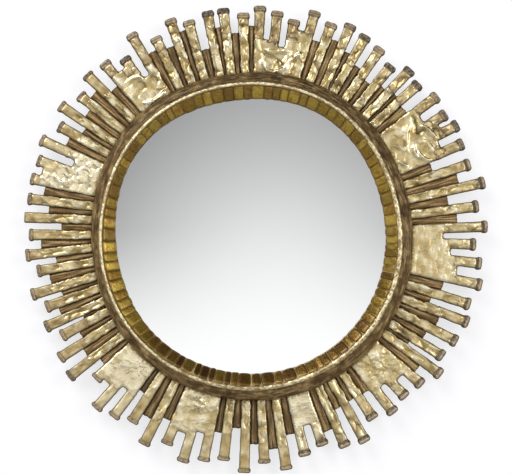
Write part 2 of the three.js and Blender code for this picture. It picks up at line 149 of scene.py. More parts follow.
# Folds of the leaf that are seen one by one: both ends (x, y), the bow of the line between them, half width
# and height. A fold with a height below nothing is a valley.
FOLDS = {
    "gilt_panel_1": [
        [(14.7, 246.3), (41.6, 229.5), -2.0, 2.2, -1.1], [(39.9, 229.5), (51.6, 249.7), 2.0, 2.4, 1.6],
        [(16.4, 246.6), (18.0, 224.5), 1.0, 2.0, 1.5], [(18.1, 223.5), (44.8, 225.1), 4.0, 2.0, 1.4],
        [(44.8, 224.5), (68.4, 244.3), -3.0, 2.2, 1.7], [(18.1, 249.6), (48.3, 248.8), 2.0, 2.6, 1.3],
        [(64.2, 259.9), (68.2, 233.9), 2.0, 2.0, 1.3], [(29.2, 218.6), (35.2, 235.6), -1.5, 1.8, -0.9],
        [(52.2, 217.6), (57.2, 240.6), 2.0, 2.0, -1.2], [(8.5, 267.9), (12.1, 247.9), 1.0, 2.0, 1.2],
    ],
    "gilt_panel_2": [
        [(216.3, 159.4), (220.9, 136.6), -1.5, 2.0, -1.6], [(220.9, 136.6), (232.3, 145.7), 2.0, 2.0, -1.4],
        [(228.3, 146.7), (248.6, 128.9), -2.0, 2.2, 1.7], [(239.4, 139.9), (257.4, 136.6), -4.0, 1.9, -1.6],
        [(223.1, 113.7), (239.1, 100.1), 3.0, 2.0, 1.6], [(217.6, 120.7), (224.4, 102.4), 2.0, 1.9, 1.4],
        [(251.7, 121.7), (258.5, 109.2), -2.0, 2.0, -1.5], [(212.9, 150.2), (209.4, 111.4), 3.0, 2.4, 1.2],
        [(195.8, 100.1), (209.4, 92.9), 1.0, 1.8, 1.1], [(189.8, 120.6), (204.7, 113.4), -1.0, 1.8, 1.0],
        [(228.2, 127.6), (242.2, 113.6), -3.0, 2.4, 1.0],
    ],
    "gilt_panel_8": [
        [(-247.1, 89.8), (-241.2, 81.0), 1.0, 1.3, -0.9], [(-250.2, 81.0), (-242.7, 75.0), 0.8, 1.3, -0.8],
        [(-251.7, 66.0), (-242.7, 63.1), 0.8, 1.4, -0.8], [(-211.5, 94.4), (-204.0, 88.4), 0.5, 2.0, -1.0],
        [(-232.3, 83.9), (-220.3, 89.8), -2.0, 1.7, 0.9], [(-220.3, 89.8), (-214.5, 76.4), -2.5, 1.7, 0.9],
        [(-262.0, 84.0), (-250.0, 70.0), 3.0, 2.4, 1.0],
    ],
    "gilt_panel_9": [
        [(-144.6, 177.6), (-114.7, 195.4), 4.0, 2.0, 1.5], [(-128.1, 195.4), (-113.3, 201.4), 3.0, 1.8, -1.1],
        [(-168.3, 204.4), (-144.6, 213.3), -3.0, 2.4, 1.3], [(-126.6, 210.3), (-120.7, 225.2), 1.5, 2.0, 1.2],
        [(-150.6, 206.4), (-141.8, 196.6), -2.0, 2.6, -0.9],
        [(-136.0, 214.0), (-124.0, 204.0), -3.0, 1.8, -1.0],
    ],
}

# How the hand-made ring wanders outwards from round, as (swings round it, sine, cosine) in millimetres.
GLASS_WANDER = ((0, 0.0, 0.9), (1, -1.2, 0.1), (2, -0.7, 1.9), (3, 0.3, -1.1), (4, 1.0, -1.6), (5, 0.7, -0.3))
BEAD_WANDER = ((0, 0.0, 2.1), (1, -1.3, -1.9), (2, 0.0, 2.1), (3, 0.3, 0.4), (4, 0.5, -0.9), (5, 0.2, -0.6))
COLLAR_WANDER = (
    (0, 0.0, 0.5), (1, 0.4, -0.3), (2, -0.8, 2.5), (3, 0.1, -0.5), (4, 0.8, -1.2), (5, 0.6, -0.4),
)

# ---------- noise, as whole arrays ----------


def smooth(low, high, x):
    """0 below low, 1 above high, and 3t^2 - 2t^3 between them."""
    t = np.clip((x - low) / (high - low), 0.0, 1.0)
    return t * t * (3.0 - 2.0 * t)


def swell(u, v, seed):
    """Smooth noise from about -1 to 1: a random slope at every whole-numbered point, carried to (u, v) from
    the four points around it and blended with 6t^5 - 15t^4 + 10t^3."""
    turn = np.random.default_rng(seed).uniform(0.0, 2.0 * np.pi, (NOISE_TABLE, NOISE_TABLE))
    iu, iv = np.floor(u).astype(int), np.floor(v).astype(int)
    fu, fv = u - iu, v - iv

    def slope(du, dv):
        angle = turn[(iu + du) % NOISE_TABLE, (iv + dv) % NOISE_TABLE]
        return np.cos(angle) * (fu - du) + np.sin(angle) * (fv - dv)

    bu = fu * fu * fu * (fu * (6.0 * fu - 15.0) + 10.0)
    bv = fv * fv * fv * (fv * (6.0 * fv - 15.0) + 10.0)
    low = slope(0, 0) * (1.0 - bu) + slope(1, 0) * bu
    high = slope(0, 1) * (1.0 - bu) + slope(1, 1) * bu
    return 1.6 * (low * (1.0 - bv) + high * bv)


def table_steps(way):
    """An angle round the ring in steps of the noise's table, where the noise meets itself after one turn."""
    return way * NOISE_TABLE / (2.0 * math.pi)


def crests(u, v, size, seed):
    """Sharp winding crests: 1 - 2|smooth noise|, with size millimetres from one to the next."""
    return 1.0 - 2.0 * np.abs(swell(u / size, v / size, seed))


def pillows(u, v, seed):
    """Strewn domes, one to a whole-numbered square and each tipped its own way: the highest of the nine
    near (u, v), -|d|^2 + tip.d, and how far the second highest lies under it, which is nothing in the
    creases between two."""
    random = np.random.default_rng(seed)
    place = random.uniform(0.0, 1.0, (NOISE_TABLE, NOISE_TABLE, 2))
    tip = random.normal(0.0, 0.35, (NOISE_TABLE, NOISE_TABLE, 2))
    iu, iv = np.floor(u).astype(int), np.floor(v).astype(int)
    best, second = np.full(u.shape, -9.0), np.full(u.shape, -9.0)
    for du in (-1, 0, 1):
        for dv in (-1, 0, 1):
            cu, cv = (iu + du) % NOISE_TABLE, (iv + dv) % NOISE_TABLE
            away_u, away_v = u - iu - du - place[cu, cv, 0], v - iv - dv - place[cu, cv, 1]
            dome = tip[cu, cv, 0] * away_u + tip[cu, cv, 1] * away_v - away_u ** 2 - away_v ** 2
            second = np.maximum(second, np.minimum(best, dome))
            best = np.maximum(best, dome)
    return best, best - second


def crushed(u, v, seed, size=10.0):
    """Crushed leaf: tipped pillows of one size with sharp creases between them, less dents of three
    quarters that size. Returns the relief in millimetres and how creased each place is, 0 to 1."""
    bu = u + 1.6 * swell(u / 7.0, v / 7.0, seed + 1)
    bv = v + 1.6 * swell(u / 7.0, v / 7.0, seed + 2)
    up, up_gap = pillows(bu / size, bv / size, seed + 3)
    down, _ = pillows(bu / size / 0.75, bv / size / 0.75, seed + 4)
    crease = np.exp(-((up_gap / 0.1) ** 2)) * smooth(-0.3, 0.4, swell(u / 13.0, v / 13.0, seed + 5))
    return size * (0.2 * up - 0.11 * down + 0.025) + 0.12 * crests(bu, bv, 4.0, seed + 6), crease


def satin(u, v, seed):
    """Smooth leaf: swells 17 and 9 mm apart."""
    return 0.9 * swell(u / 17.0, v / 17.0, seed + 7) + 0.35 * swell(u / 9.0, v / 9.0, seed + 8)


def folded(x, y, folds):
    """The drawn folds of a piece: along each bowed line a ridge exp(-d^2) that rises fast and falls off
    slowly, fading at both ends. Returns the relief and how deep in a valley each place is, 0 to 1."""
    total, deep = np.zeros(x.shape), np.zeros(x.shape)
    for (x0, y0), (x1, y1), bow, width, height in folds:
        length = math.hypot(x1 - x0, y1 - y0)
        share = ((x - x0) * (x1 - x0) + (y - y0) * (y1 - y0)) / length ** 2
        off = ((x - x0) * (y1 - y0) - (y - y0) * (x1 - x0)) / length - 4.0 * bow * share * (1.0 - share)
        reach = np.where(off > 0.0, 1.7 * width, 0.8 * width)
        ridge = np.exp(-((off / reach) ** 2)) * smooth(-0.12, 0.15, share) * smooth(1.12, 0.85, share)
        total = total + height * ridge
        deep = np.maximum(deep, 0.45 * ridge * (height < 0.0))
    return total, deep


# ---------- meshes ----------


def to_metres(points):
    """Face millimetres to the model's metres: (x, y, z) becomes (x, -z, y) / 1000."""
    return np.stack([points[:, 0], -points[:, 2], points[:, 1]], axis=1) * 0.001


def piece(name, points, quads, material, stands_for=(), layers=None):
    """One piece of the dressed mirror: a mesh of quads in the model's frame that rides on the mirror."""
    mesh = bpy.data.meshes.new(name)
    mesh.vertices.add(len(points))
    mesh.vertices.foreach_set("co", to_metres(points).astype(np.float32).ravel())
    mesh.loops.add(quads.size)
    mesh.loops.foreach_set("vertex_index", quads.astype(np.int32).ravel())
    mesh.polygons.add(len(quads))
    mesh.polygons.foreach_set("loop_start", np.arange(0, quads.size, 4, dtype=np.int32))
    mesh.polygons.foreach_set("use_smooth", np.full(len(quads), True))
    for layer, values in (layers or {}).items():
        mesh.attributes.new(layer, "FLOAT", "POINT").data.foreach_set("value", values.astype(np.float32))
    mesh.update(calc_edges=True)
    mesh.validate()
    mesh.materials.append(material)
    made = bpy.data.objects.new(name, mesh)
    bpy.context.scene.collection.objects.link(made)
    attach(made, "mirror")
    if stands_for:
        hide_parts(*stands_for)
    return made


def relief(outline, height, extent, step, back):
    """A closed plaque over the part of a grid where outline(u, v) is negative. The squares whose middles
    lie inside are kept, their border points slide down the outline's slope onto its zero line, the front
    stands at height(u, v, depth inside), and straight walls lead to a flat back. Returns points, quads and
    the layers of values that the material reads."""
    (u0, u1), (v0, v1) = extent
    nu, nv = int((u1 - u0) / step) + 1, int((v1 - v0) / step) + 1
    us, vs = np.meshgrid(u0 + step * np.arange(nu), v0 + step * np.arange(nv), indexing="ij")
    kept = outline(us[:-1, :-1] + step / 2, vs[:-1, :-1] + step / 2) < 0.0
    beside = np.zeros((nu, nv), int)
    for du in (0, 1):
        for dv in (0, 1):
            beside[du : nu - 1 + du, dv : nv - 1 + dv] += kept
    border = (beside > 0) & (beside < 4)
    bu, bv = us[border], vs[border]
    for _ in range(3):
        here = outline(bu, bv)
        gu = (outline(bu + 0.05, bv) - outline(bu - 0.05, bv)) / 0.1
        gv = (outline(bu, bv + 0.05) - outline(bu, bv - 0.05)) / 0.1
        steep = np.maximum(gu * gu + gv * gv, 0.25)
        bu, bv = bu - here * gu / steep, bv - here * gv / steep
    us[border], vs[border] = bu, bv
    used = beside > 0
    number = np.full((nu, nv), -1)
    number[used] = np.arange(used.sum())
    u, v = us[used], vs[used]
    on_border = border[used]
    depth = np.where(on_border, 0.0, np.maximum(-outline(u, v), 0.0))
    z, layers = height(u, v, depth)
    ci, cj = np.nonzero(kept)
    front = np.stack([number[ci, cj], number[ci + 1, cj], number[ci + 1, cj + 1], number[ci, cj + 1]], axis=1)
    edges = np.concatenate([front[:, [k, (k + 1) % 4]] for k in range(4)])
    count = len(u)
    code = edges[:, 0] * count + edges[:, 1]
    turned_code = edges[:, 1] * count + edges[:, 0]
    rim = edges[~np.isin(code, turned_code)]
    low = front[:, ::-1] + count
    walls = np.stack([rim[:, 1], rim[:, 0], rim[:, 0] + count, rim[:, 1] + count], axis=1)
    points = np.concatenate([np.stack([u, v, z], 1), np.stack([u, v, np.full(count, float(back))], 1)])
    layers = {name: np.concatenate([values, values * 0.0]) for name, values in layers.items()}
    # dark along the rim: bare resin on the walls, and painted shade on the front's edge
    edge_shade_width = 1.15
    layers["edge"] = np.concatenate([np.exp(-((depth / edge_shade_width) ** 2)), np.ones(count)])
    return points, np.concatenate([front, low, walls]), layers


def wander(way, waves):
    """A sum of waves round the ring: each of so many swings, with a sine and a cosine share in
    millimetres."""
    return sum(a * np.sin(swings * way) + b * np.cos(swings * way) for swings, a, b in waves)


def out_of_round(way, radius):
    """How far the hand-made ring wanders outwards, in millimetres, by the angle clockwise from the top: as
    the bead does near it, and in a straight line from there to the glass's edge inwards and to the collar's
    edge outwards."""
    at_bead = wander(way, BEAD_WANDER)
    inward = np.clip((CREST_INNER - radius) / (CREST_INNER - TILE_INNER), 0.0, 1.0)
    outward = np.clip((radius - CREST_OUTER) / (COLLAR_RADIUS - CREST_OUTER), 0.0, 1.0)
    to_glass = inward * (wander(way, GLASS_WANDER) - at_bead)
    return at_bead + to_glass + outward * (wander(way, COLLAR_WANDER) - at_bead)


def ring_band(profile, turns, worked):
    """A band turned about the middle of the face: a closed profile of (radius, level) points at every one
    of its turns, out of round as the ring is. Every point moves along the profile's outward normal by
    worked(way round in radians, place on the profile 0..1). Returns points, quads and the grid of ways,
    places and movements."""
    profile = np.asarray(profile, float)
    ahead = np.roll(profile, -1, axis=0) - np.roll(profile, 1, axis=0)
    normal = np.stack([ahead[:, 1], -ahead[:, 0]], 1)
    normal /= np.linalg.norm(normal, axis=1, keepdims=True)
    angle = 2.0 * np.pi * np.arange(turns) / turns
    share = np.arange(len(profile)) / len(profile)
    way, place = np.meshgrid(angle, share, indexing="ij")
    lift = worked(way, place)
    radius = profile[None, :, 0] + normal[None, :, 0] * lift + out_of_round(way, profile[None, :, 0])
    level = profile[None, :, 1] + normal[None, :, 1] * lift
    points = np.stack([radius * np.sin(way), radius * np.cos(way), level], -1).reshape(-1, 3)
    i, j = np.meshgrid(np.arange(turns), np.arange(len(profile)), indexing="ij")
    here, there = i * len(profile), ((i + 1) % turns) * len(profile)
    up = (j + 1) % len(profile)
    quads = np.stack([here + j, there + j, there + up, here + up], -1).reshape(-1, 4)
    return points, quads, (way.ravel(), place.ravel(), lift.ravel())


def along(corners, spacing):
    """Points every so many millimetres along a closed profile of corners."""
    corners = np.asarray(corners, float)
    pieces = []
    for here, there in zip(corners, np.roll(corners, -1, axis=0)):
        steps = max(1, int(round(np.linalg.norm(there - here) / spacing)))
        pieces.append(here + (there - here) * (np.arange(steps) / steps)[:, None])
    return np.concatenate(pieces)


# ---------- colours and materials ----------


def linear(hex_colour):
    """An sRGB hex colour as the linear colour that a shader takes."""
    parts = [int(hex_colour[i : i + 2], 16) / 255.0 for i in (1, 3, 5)]
    return [p / 12.92 if p <= 0.04045 else ((p + 0.055) / 1.055) ** 2.4 for p in parts] + [1.0]


def new_material(name):
    material = bpy.data.materials.new(name)
    material.use_nodes = True
    material.node_tree.nodes.clear()
    return material, material.node_tree


def add(tree, kind, inputs=None, **settings):
    """Adds a node with its settings. An input that is another node's socket is linked, any other is its
    value."""
    node = tree.nodes.new(kind)
    for name, value in settings.items():
        setattr(node, name, value)
    for key, value in (inputs or {}).items():
        if isinstance(value, bpy.types.NodeSocket):
            tree.links.new(value, node.inputs[key])
        else:
            node.inputs[key].default_value = value
    return node


def gilded_resin():
    """Cast resin under crushed metal leaf: paler on its crests, partly rubbed leaf and partly painted
    highlight, brown with old glaze in its creases and along its streaks, darker with painted shade at the
    collar's foot, where the leaf ends and in the lips' grooves, plainer and beige on the stubs beyond the
    leaf, taupe on the lips and bare brown resin on the sides, whose darkness reaches onto the front's edges
    as painted shade."""
    material, tree = new_material("gilded_resin")
    place = add(tree, "ShaderNodeTexCoord").outputs["Object"]
    leaf, lip, hollow, glaze, edge, low, dark, pale = (
        add(tree, "ShaderNodeAttribute", attribute_name=layer).outputs["Fac"]
        for layer in ("leaf", "lip", "hollow", "glaze", "edge", "low", "dark", "pale")
    )
    # cloudy tint of the glaze, 20 mm across
    cloud = add(tree, "ShaderNodeTexNoise", {"Vector": place, "Scale": 50.0, "Detail": 3.0, "Roughness": 0.6})
    # flecks of worn leaf, 2.5 mm across
    fleck = add(tree, "ShaderNodeTexNoise", {
        "Vector": place, "Scale": 400.0, "Detail": 3.0, "Roughness": 0.65,
    })
    warm = add(tree, "ShaderNodeMapRange", {
        "Value": cloud.outputs["Fac"], "From Min": 0.38, "From Max": 0.62,
    })
    bright = add(tree, "ShaderNodeMix", {
        "Factor": warm.outputs[0], 6: linear("#cdb479"), 7: linear("#e2d09a"),
    }, data_type="RGBA")
    plain = add(tree, "ShaderNodeMix", {
        "Factor": warm.outputs[0], 6: linear("#bb9f64"), 7: linear("#d0b984"),
    }, data_type="RGBA")
    worn = add(tree, "ShaderNodeMapRange", {
        "Value": fleck.outputs["Fac"], "From Min": 0.58, "From Max": 0.72, "To Max": 0.35,
    })
    crease = add(tree, "ShaderNodeMapRange", {
        "Value": hollow, "From Min": 0.1, "From Max": 1.0, "To Max": 0.9,
    })
    face = add(tree, "ShaderNodeMix", {
        "Factor": leaf, 6: plain.outputs[2], 7: bright.outputs[2],
    }, data_type="RGBA")
    colour = face.outputs[2]
    # over the leaf, in this order: crests rubbed pale with painted highlights, taupe lips, worn flecks, brown
    # low places, old glaze, creases with painted shade at the collar's foot, where the leaf ends and in the
    # lips' grooves, bare sides with painted shade along the front's edges, and darkened lips
    for share, tint in (
        (pale, "#fcf0cc"), (lip, "#c2a987"), (worn.outputs[0], "#86704a"), (low, "#a38b52"),
        (glaze, "#7b6236"), (crease.outputs[0], "#483719"), (edge, "#45321d"), (dark, "#33271b"),
    ):
        layered = add(tree, "ShaderNodeMix", {"Factor": share, 6: colour, 7: linear(tint)}, data_type="RGBA")
        colour = layered.outputs[2]
    bare = add(tree, "ShaderNodeMath", {0: lip, 1: edge}, operation="MAXIMUM")
    metal = add(tree, "ShaderNodeMapRange", {"Value": leaf, "To Min": 0.6, "To Max": 0.92})
    metal_here = add(tree, "ShaderNodeMath", {
        0: bare.outputs[0], 1: -0.6, 2: metal.outputs[0],
    }, operation="MULTIPLY_ADD", use_clamp=True)
    rough = add(tree, "ShaderNodeMapRange", {"Value": leaf, "To Min": 0.42, "To Max": 0.27})
    rough_here = add(tree, "ShaderNodeMath", {
        0: bare.outputs[0], 1: 0.2, 2: rough.outputs[0],
    }, operation="MULTIPLY_ADD")
    # the grain of the ground coat under the leaf, 2.5 mm and finer
    grain = add(tree, "ShaderNodeBump", {
        "Height": fleck.outputs["Fac"], "Strength": 0.25, "Distance": 0.0006,
    })
    shader = add(tree, "ShaderNodeBsdfPrincipled", {
        "Base Color": colour, "Metallic": metal_here.outputs[0], "Roughness": rough_here.outputs[0],
        "Normal": grain.outputs[0], "Coat Weight": 0.7, "Coat Roughness": 0.22,
    })
    add(tree, "ShaderNodeOutputMaterial", {"Surface": shader.outputs[0]})
    return material


def brown_resin():
    """Stained cast resin, combed while soft: matt, with lighter olive streaks along its length."""
    material, tree = new_material("brown_cast_resin")
    place = add(tree, "ShaderNodeTexCoord").outputs["Object"]
    lift = add(tree, "ShaderNodeAttribute", attribute_name="lift").outputs["Fac"]
    tone = add(tree, "ShaderNodeAttribute", attribute_name="tone").outputs["Fac"]
    cloud = add(tree, "ShaderNodeTexNoise", {
        "Vector": place, "Scale": 70.0, "Detail": 4.0, "Roughness": 0.65,
    })
    fleck = add(tree, "ShaderNodeTexNoise", {"Vector": place, "Scale": 500.0, "Detail": 2.0})
    clouded = add(tree, "ShaderNodeMapRange", {
        "Value": cloud.outputs["Fac"], "From Min": 0.35, "From Max": 0.65,
    })
    ground = add(tree, "ShaderNodeMix", {
        "Factor": clouded.outputs[0], 6: linear("#654b2a"), 7: linear("#826538"),
    }, data_type="RGBA")
    crown = add(tree, "ShaderNodeMapRange", {"Value": lift, "From Min": 0.15, "From Max": 0.85})
    speck = add(tree, "ShaderNodeMapRange", {
        "Value": fleck.outputs["Fac"], "From Min": 0.52, "From Max": 0.7, "To Max": 0.6,
    })
    colour = ground.outputs[2]
    # over the ground: lighter crowns and streaks, dark specks, and a darker tone: painted shade along the
    # webs' edges, darker webs low down, and the collar's combed streaks, darker towards its top
    for share, tint in ((crown.outputs[0], "#bd9f6c"), (speck.outputs[0], "#3a2c18"), (tone, "#33250f")):
        layered = add(tree, "ShaderNodeMix", {"Factor": share, 6: colour, 7: linear(tint)}, data_type="RGBA")
        colour = layered.outputs[2]
    bump = add(tree, "ShaderNodeBump", {"Height": fleck.outputs["Fac"], "Strength": 0.3, "Distance": 0.0006})
    shader = add(tree, "ShaderNodeBsdfPrincipled", {
        "Base Color": colour, "Metallic": 0.1, "Roughness": 0.58, "Specular IOR Level": 0.3,
        "Normal": bump.outputs[0],
    })
    add(tree, "ShaderNodeOutputMaterial", {"Surface": shader.outputs[0]})
    return material


def pale_gilt():
    """Leaf laid thickly on the bead: pale gold that rubs through to brown in its wrinkles and in patches,
    and darker on the bead's flanks with painted shade.
    """
    material, tree = new_material("pale_leaf_gilding")
    place = add(tree, "ShaderNodeTexCoord").outputs["Object"]
    lift = add(tree, "ShaderNodeAttribute", attribute_name="lift").outputs["Fac"]
    cloud = add(tree, "ShaderNodeTexNoise", {
        "Vector": place, "Scale": 160.0, "Detail": 4.0, "Roughness": 0.65,
    })
    dulled = add(tree, "ShaderNodeMapRange", {
        "Value": cloud.outputs["Fac"], "From Min": 0.5, "From Max": 0.66, "To Max": 0.9,
    })
    low = add(tree, "ShaderNodeMapRange", {"Value": lift, "From Min": -0.1, "From Max": -0.7, "To Max": 0.85})
    worn = add(tree, "ShaderNodeMath", {0: dulled.outputs[0], 1: low.outputs[0]}, operation="MAXIMUM")
    colour = add(tree, "ShaderNodeMix", {
        "Factor": worn.outputs[0], 6: linear("#fbeebf"), 7: linear("#8a6c3c"),
    }, data_type="RGBA")
    bump = add(tree, "ShaderNodeBump", {"Height": cloud.outputs["Fac"], "Strength": 0.3, "Distance": 0.001})
    shader = add(tree, "ShaderNodeBsdfPrincipled", {
        "Base Color": colour.outputs[2], "Metallic": 0.75, "Roughness": 0.36, "Normal": bump.outputs[0],
        "Coat Weight": 0.4, "Coat Roughness": 0.2,
    })
    add(tree, "ShaderNodeOutputMaterial", {"Surface": shader.outputs[0]})
    return material


def amber_mirror():
    """Small squares of amber-backed mirror glass: olive gold, each cut from a sheet of its own tint,
    glossy."""
    material, tree = new_material("amber_mirror_glass")
    place = add(tree, "ShaderNodeTexCoord").outputs["Object"]
    own_tint, joint, under = (
        add(tree, "ShaderNodeAttribute", attribute_name=layer).outputs["Fac"]
        for layer in ("tint", "joint", "under")
    )
    # the backing's clouds, 3 mm across, and its amber stains where damp has crept in, 8 mm across
    cloud = add(tree, "ShaderNodeTexNoise", {
        "Vector": place, "Scale": 330.0, "Detail": 3.0, "Roughness": 0.6,
    })
    damp = add(tree, "ShaderNodeTexNoise", {"Vector": place, "Scale": 120.0, "Detail": 2.0})
    clouded = add(tree, "ShaderNodeMath", {
        0: cloud.outputs["Fac"], 1: 1.6, 2: own_tint,
    }, operation="MULTIPLY_ADD")
    shade = add(tree, "ShaderNodeMapRange", {"Value": clouded.outputs[0], "From Min": 0.6, "From Max": 1.8})
    glass = add(tree, "ShaderNodeMix", {
        "Factor": shade.outputs[0], 6: linear("#83661f"), 7: linear("#c3a646"),
    }, data_type="RGBA")
    brown_mark = add(tree, "ShaderNodeMapRange", {
        "Value": damp.outputs["Fac"], "From Min": 0.5, "From Max": 0.68, "To Max": 0.8,
    })
    darkened = add(tree, "ShaderNodeMapRange", {"Value": under, "To Max": 0.85})
    margin = add(tree, "ShaderNodeMapRange", {"Value": joint, "To Max": 0.5})
    colour = glass.outputs[2]
    # over the glass: amber stains, brown tiles with painted shade on the tiles low down, and dim margins
    for share, tint in (
        (brown_mark.outputs[0], "#9c6a26"), (darkened.outputs[0], "#4c2c12"), (margin.outputs[0], "#6b4d1f"),
    ):
        layered = add(tree, "ShaderNodeMix", {"Factor": share, 6: colour, 7: linear(tint)}, data_type="RGBA")
        colour = layered.outputs[2]
    rough = add(tree, "ShaderNodeMapRange", {"Value": joint, "To Min": 0.26, "To Max": 0.6})
    ripple = add(tree, "ShaderNodeBump", {"Height": cloud.outputs["Fac"], "Strength": 0.3, "Distance": 0.001})
    shader = add(tree, "ShaderNodeBsdfPrincipled", {
        "Base Color": colour, "Metallic": 0.8, "Roughness": rough.outputs[0], "Normal": ripple.outputs[0],
        "Coat Weight": 0.3, "Coat Roughness": 0.12,
    })
    add(tree, "ShaderNodeOutputMaterial", {"Surface": shader.outputs[0]})
    return material


def tile_grout():
    """Putty between and under the tiles: brown, paler low down on the right, matt and sandy."""
    material, tree = new_material("tile_putty")
    place = add(tree, "ShaderNodeTexCoord").outputs["Object"]
    sand = add(tree, "ShaderNodeTexNoise", {"Vector": place, "Scale": 900.0, "Detail": 3.0})
    paler_lower_right = add(tree, "ShaderNodeAttribute", attribute_name="paler_lower_right").outputs["Fac"]
    brown = add(tree, "ShaderNodeMix", {
        "Factor": sand.outputs["Fac"], 6: linear("#5c451f"), 7: linear("#8c6f38"),
    }, data_type="RGBA")
    pale = add(tree, "ShaderNodeMix", {
        "Factor": sand.outputs["Fac"], 6: linear("#94794a"), 7: linear("#c6af80"),
    }, data_type="RGBA")
    colour = add(tree, "ShaderNodeMix", {
        "Factor": paler_lower_right, 6: brown.outputs[2], 7: pale.outputs[2],
    }, data_type="RGBA")
    bump = add(tree, "ShaderNodeBump", {"Height": sand.outputs["Fac"], "Strength": 0.4, "Distance": 0.0005})
    shader = add(tree, "ShaderNodeBsdfPrincipled", {
        "Base Color": colour.outputs[2], "Roughness": 0.8, "Normal": bump.outputs[0],
    })
    add(tree, "ShaderNodeOutputMaterial", {"Surface": shader.outputs[0]})
    return material


def silvered_glass():
    """Float glass silvered behind: a clean, nearly neutral mirror with a breath of dust."""
    material, tree = new_material("silvered_float_glass")
    place = add(tree, "ShaderNodeTexCoord").outputs["Object"]
    dust = add(tree, "ShaderNodeTexNoise", {"Vector": place, "Scale": 14.0, "Detail": 5.0, "Roughness": 0.7})
    rough = add(tree, "ShaderNodeMapRange", {
        "Value": dust.outputs["Fac"], "From Min": 0.3, "From Max": 0.8, "To Min": 0.0, "To Max": 0.012,
    })
    colour = add(tree, "ShaderNodeMix", {
        "Factor": dust.outputs["Fac"], 6: linear("#f7f8f8"), 7: linear("#fbfbfc"),
    }, data_type="RGBA")
    shader = add(tree, "ShaderNodeBsdfPrincipled", {
        "Base Color": colour.outputs[2], "Metallic": 1.0, "Roughness": rough.outputs[0],
    })
    add(tree, "ShaderNodeOutputMaterial", {"Surface": shader.outputs[0]})
    return material


def wool_felt():
    """Pressed wool felt: dark grey, matt, with fibres."""
    material, tree = new_material("wool_felt")
    place = add(tree, "ShaderNodeTexCoord").outputs["Object"]
    fibre = add(tree, "ShaderNodeTexNoise", {
        "Vector": place, "Scale": 700.0, "Detail": 5.0, "Distortion": 2.0,
    })
    colour = add(tree, "ShaderNodeMix", {
        "Factor": fibre.outputs["Fac"], 6: linear("#2c2a26"), 7: linear("#4d4942"),
    }, data_type="RGBA")
    bump = add(tree, "ShaderNodeBump", {"Height": fibre.outputs["Fac"], "Strength": 0.5, "Distance": 0.0006})
    shader = add(tree, "ShaderNodeBsdfPrincipled", {
        "Base Color": colour.outputs[2], "Roughness": 0.95, "Normal": bump.outputs[0], "Sheen Weight": 0.3,
    })
    add(tree, "ShaderNodeOutputMaterial", {"Surface": shader.outputs[0]})
    return material


def birch_plywood():
    """Sanded birch plywood: long grain on its faces and five glued plies at its edge."""
    material, tree = new_material("birch_plywood")
    place = add(tree, "ShaderNodeTexCoord").outputs["Object"]
    # long grain: 3 mm apart across, twenty times as long as wide
    grain_map = add(tree, "ShaderNodeMapping", {"Vector": place, "Scale": (330.0, 330.0, 16.0)})
    grain = add(tree, "ShaderNodeTexNoise", {
        "Vector": grain_map.outputs[0], "Scale": 1.0, "Detail": 4.0, "Distortion": 0.6,
    })
    rings_map = add(tree, "ShaderNodeMapping", {"Vector": place, "Scale": (26.0, 26.0, 3.0)})
    rings = add(tree, "ShaderNodeTexNoise", {
        "Vector": rings_map.outputs[0], "Scale": 1.0, "Detail": 2.0, "Distortion": 1.5,
    })
    both = add(tree, "ShaderNodeMath", {
        0: grain.outputs["Fac"], 1: 0.5, 2: rings.outputs["Fac"],
    }, operation="MULTIPLY_ADD")
    tone = add(tree, "ShaderNodeMapRange", {"Value": both.outputs[0], "From Min": 0.45, "From Max": 1.05})
    wood = add(tree, "ShaderNodeMix", {
        "Factor": tone.outputs[0], 6: linear("#c39e66"), 7: linear("#9a7442"),
    }, data_type="RGBA")
    # five plies of 2.6 mm across the thickness
    split = add(tree, "ShaderNodeSeparateXYZ", {0: place})
    ply = add(tree, "ShaderNodeMath", {
        0: split.outputs["Y"], 1: 2.0 * math.pi / 0.0052,
    }, operation="MULTIPLY")
    band = add(tree, "ShaderNodeMath", {0: ply.outputs[0]}, operation="SINE")
    layers = add(tree, "ShaderNodeMapRange", {"Value": band.outputs[0], "From Min": 0.6, "From Max": 0.9})
    normal = add(tree, "ShaderNodeNewGeometry")
    facing = add(tree, "ShaderNodeSeparateXYZ", {0: normal.outputs["Normal"]})
    flat = add(tree, "ShaderNodeMath", {0: facing.outputs["Y"]}, operation="ABSOLUTE")
    edge = add(tree, "ShaderNodeMapRange", {"Value": flat.outputs[0], "From Min": 0.6, "From Max": 0.2})
    darker = add(tree, "ShaderNodeMath", {0: layers.outputs[0], 1: edge.outputs[0]}, operation="MULTIPLY")
    colour = add(tree, "ShaderNodeMix", {
        "Factor": darker.outputs[0], 6: wood.outputs[2], 7: linear("#6e4f2b"),
    }, data_type="RGBA")
    bump = add(tree, "ShaderNodeBump", {"Height": grain.outputs["Fac"], "Strength": 0.2, "Distance": 0.0005})
    shader = add(tree, "ShaderNodeBsdfPrincipled", {
        "Base Color": colour.outputs[2], "Roughness": 0.62, "Normal": bump.outputs[0],
    })
    add(tree, "ShaderNodeOutputMaterial", {"Surface": shader.outputs[0]})
    return material


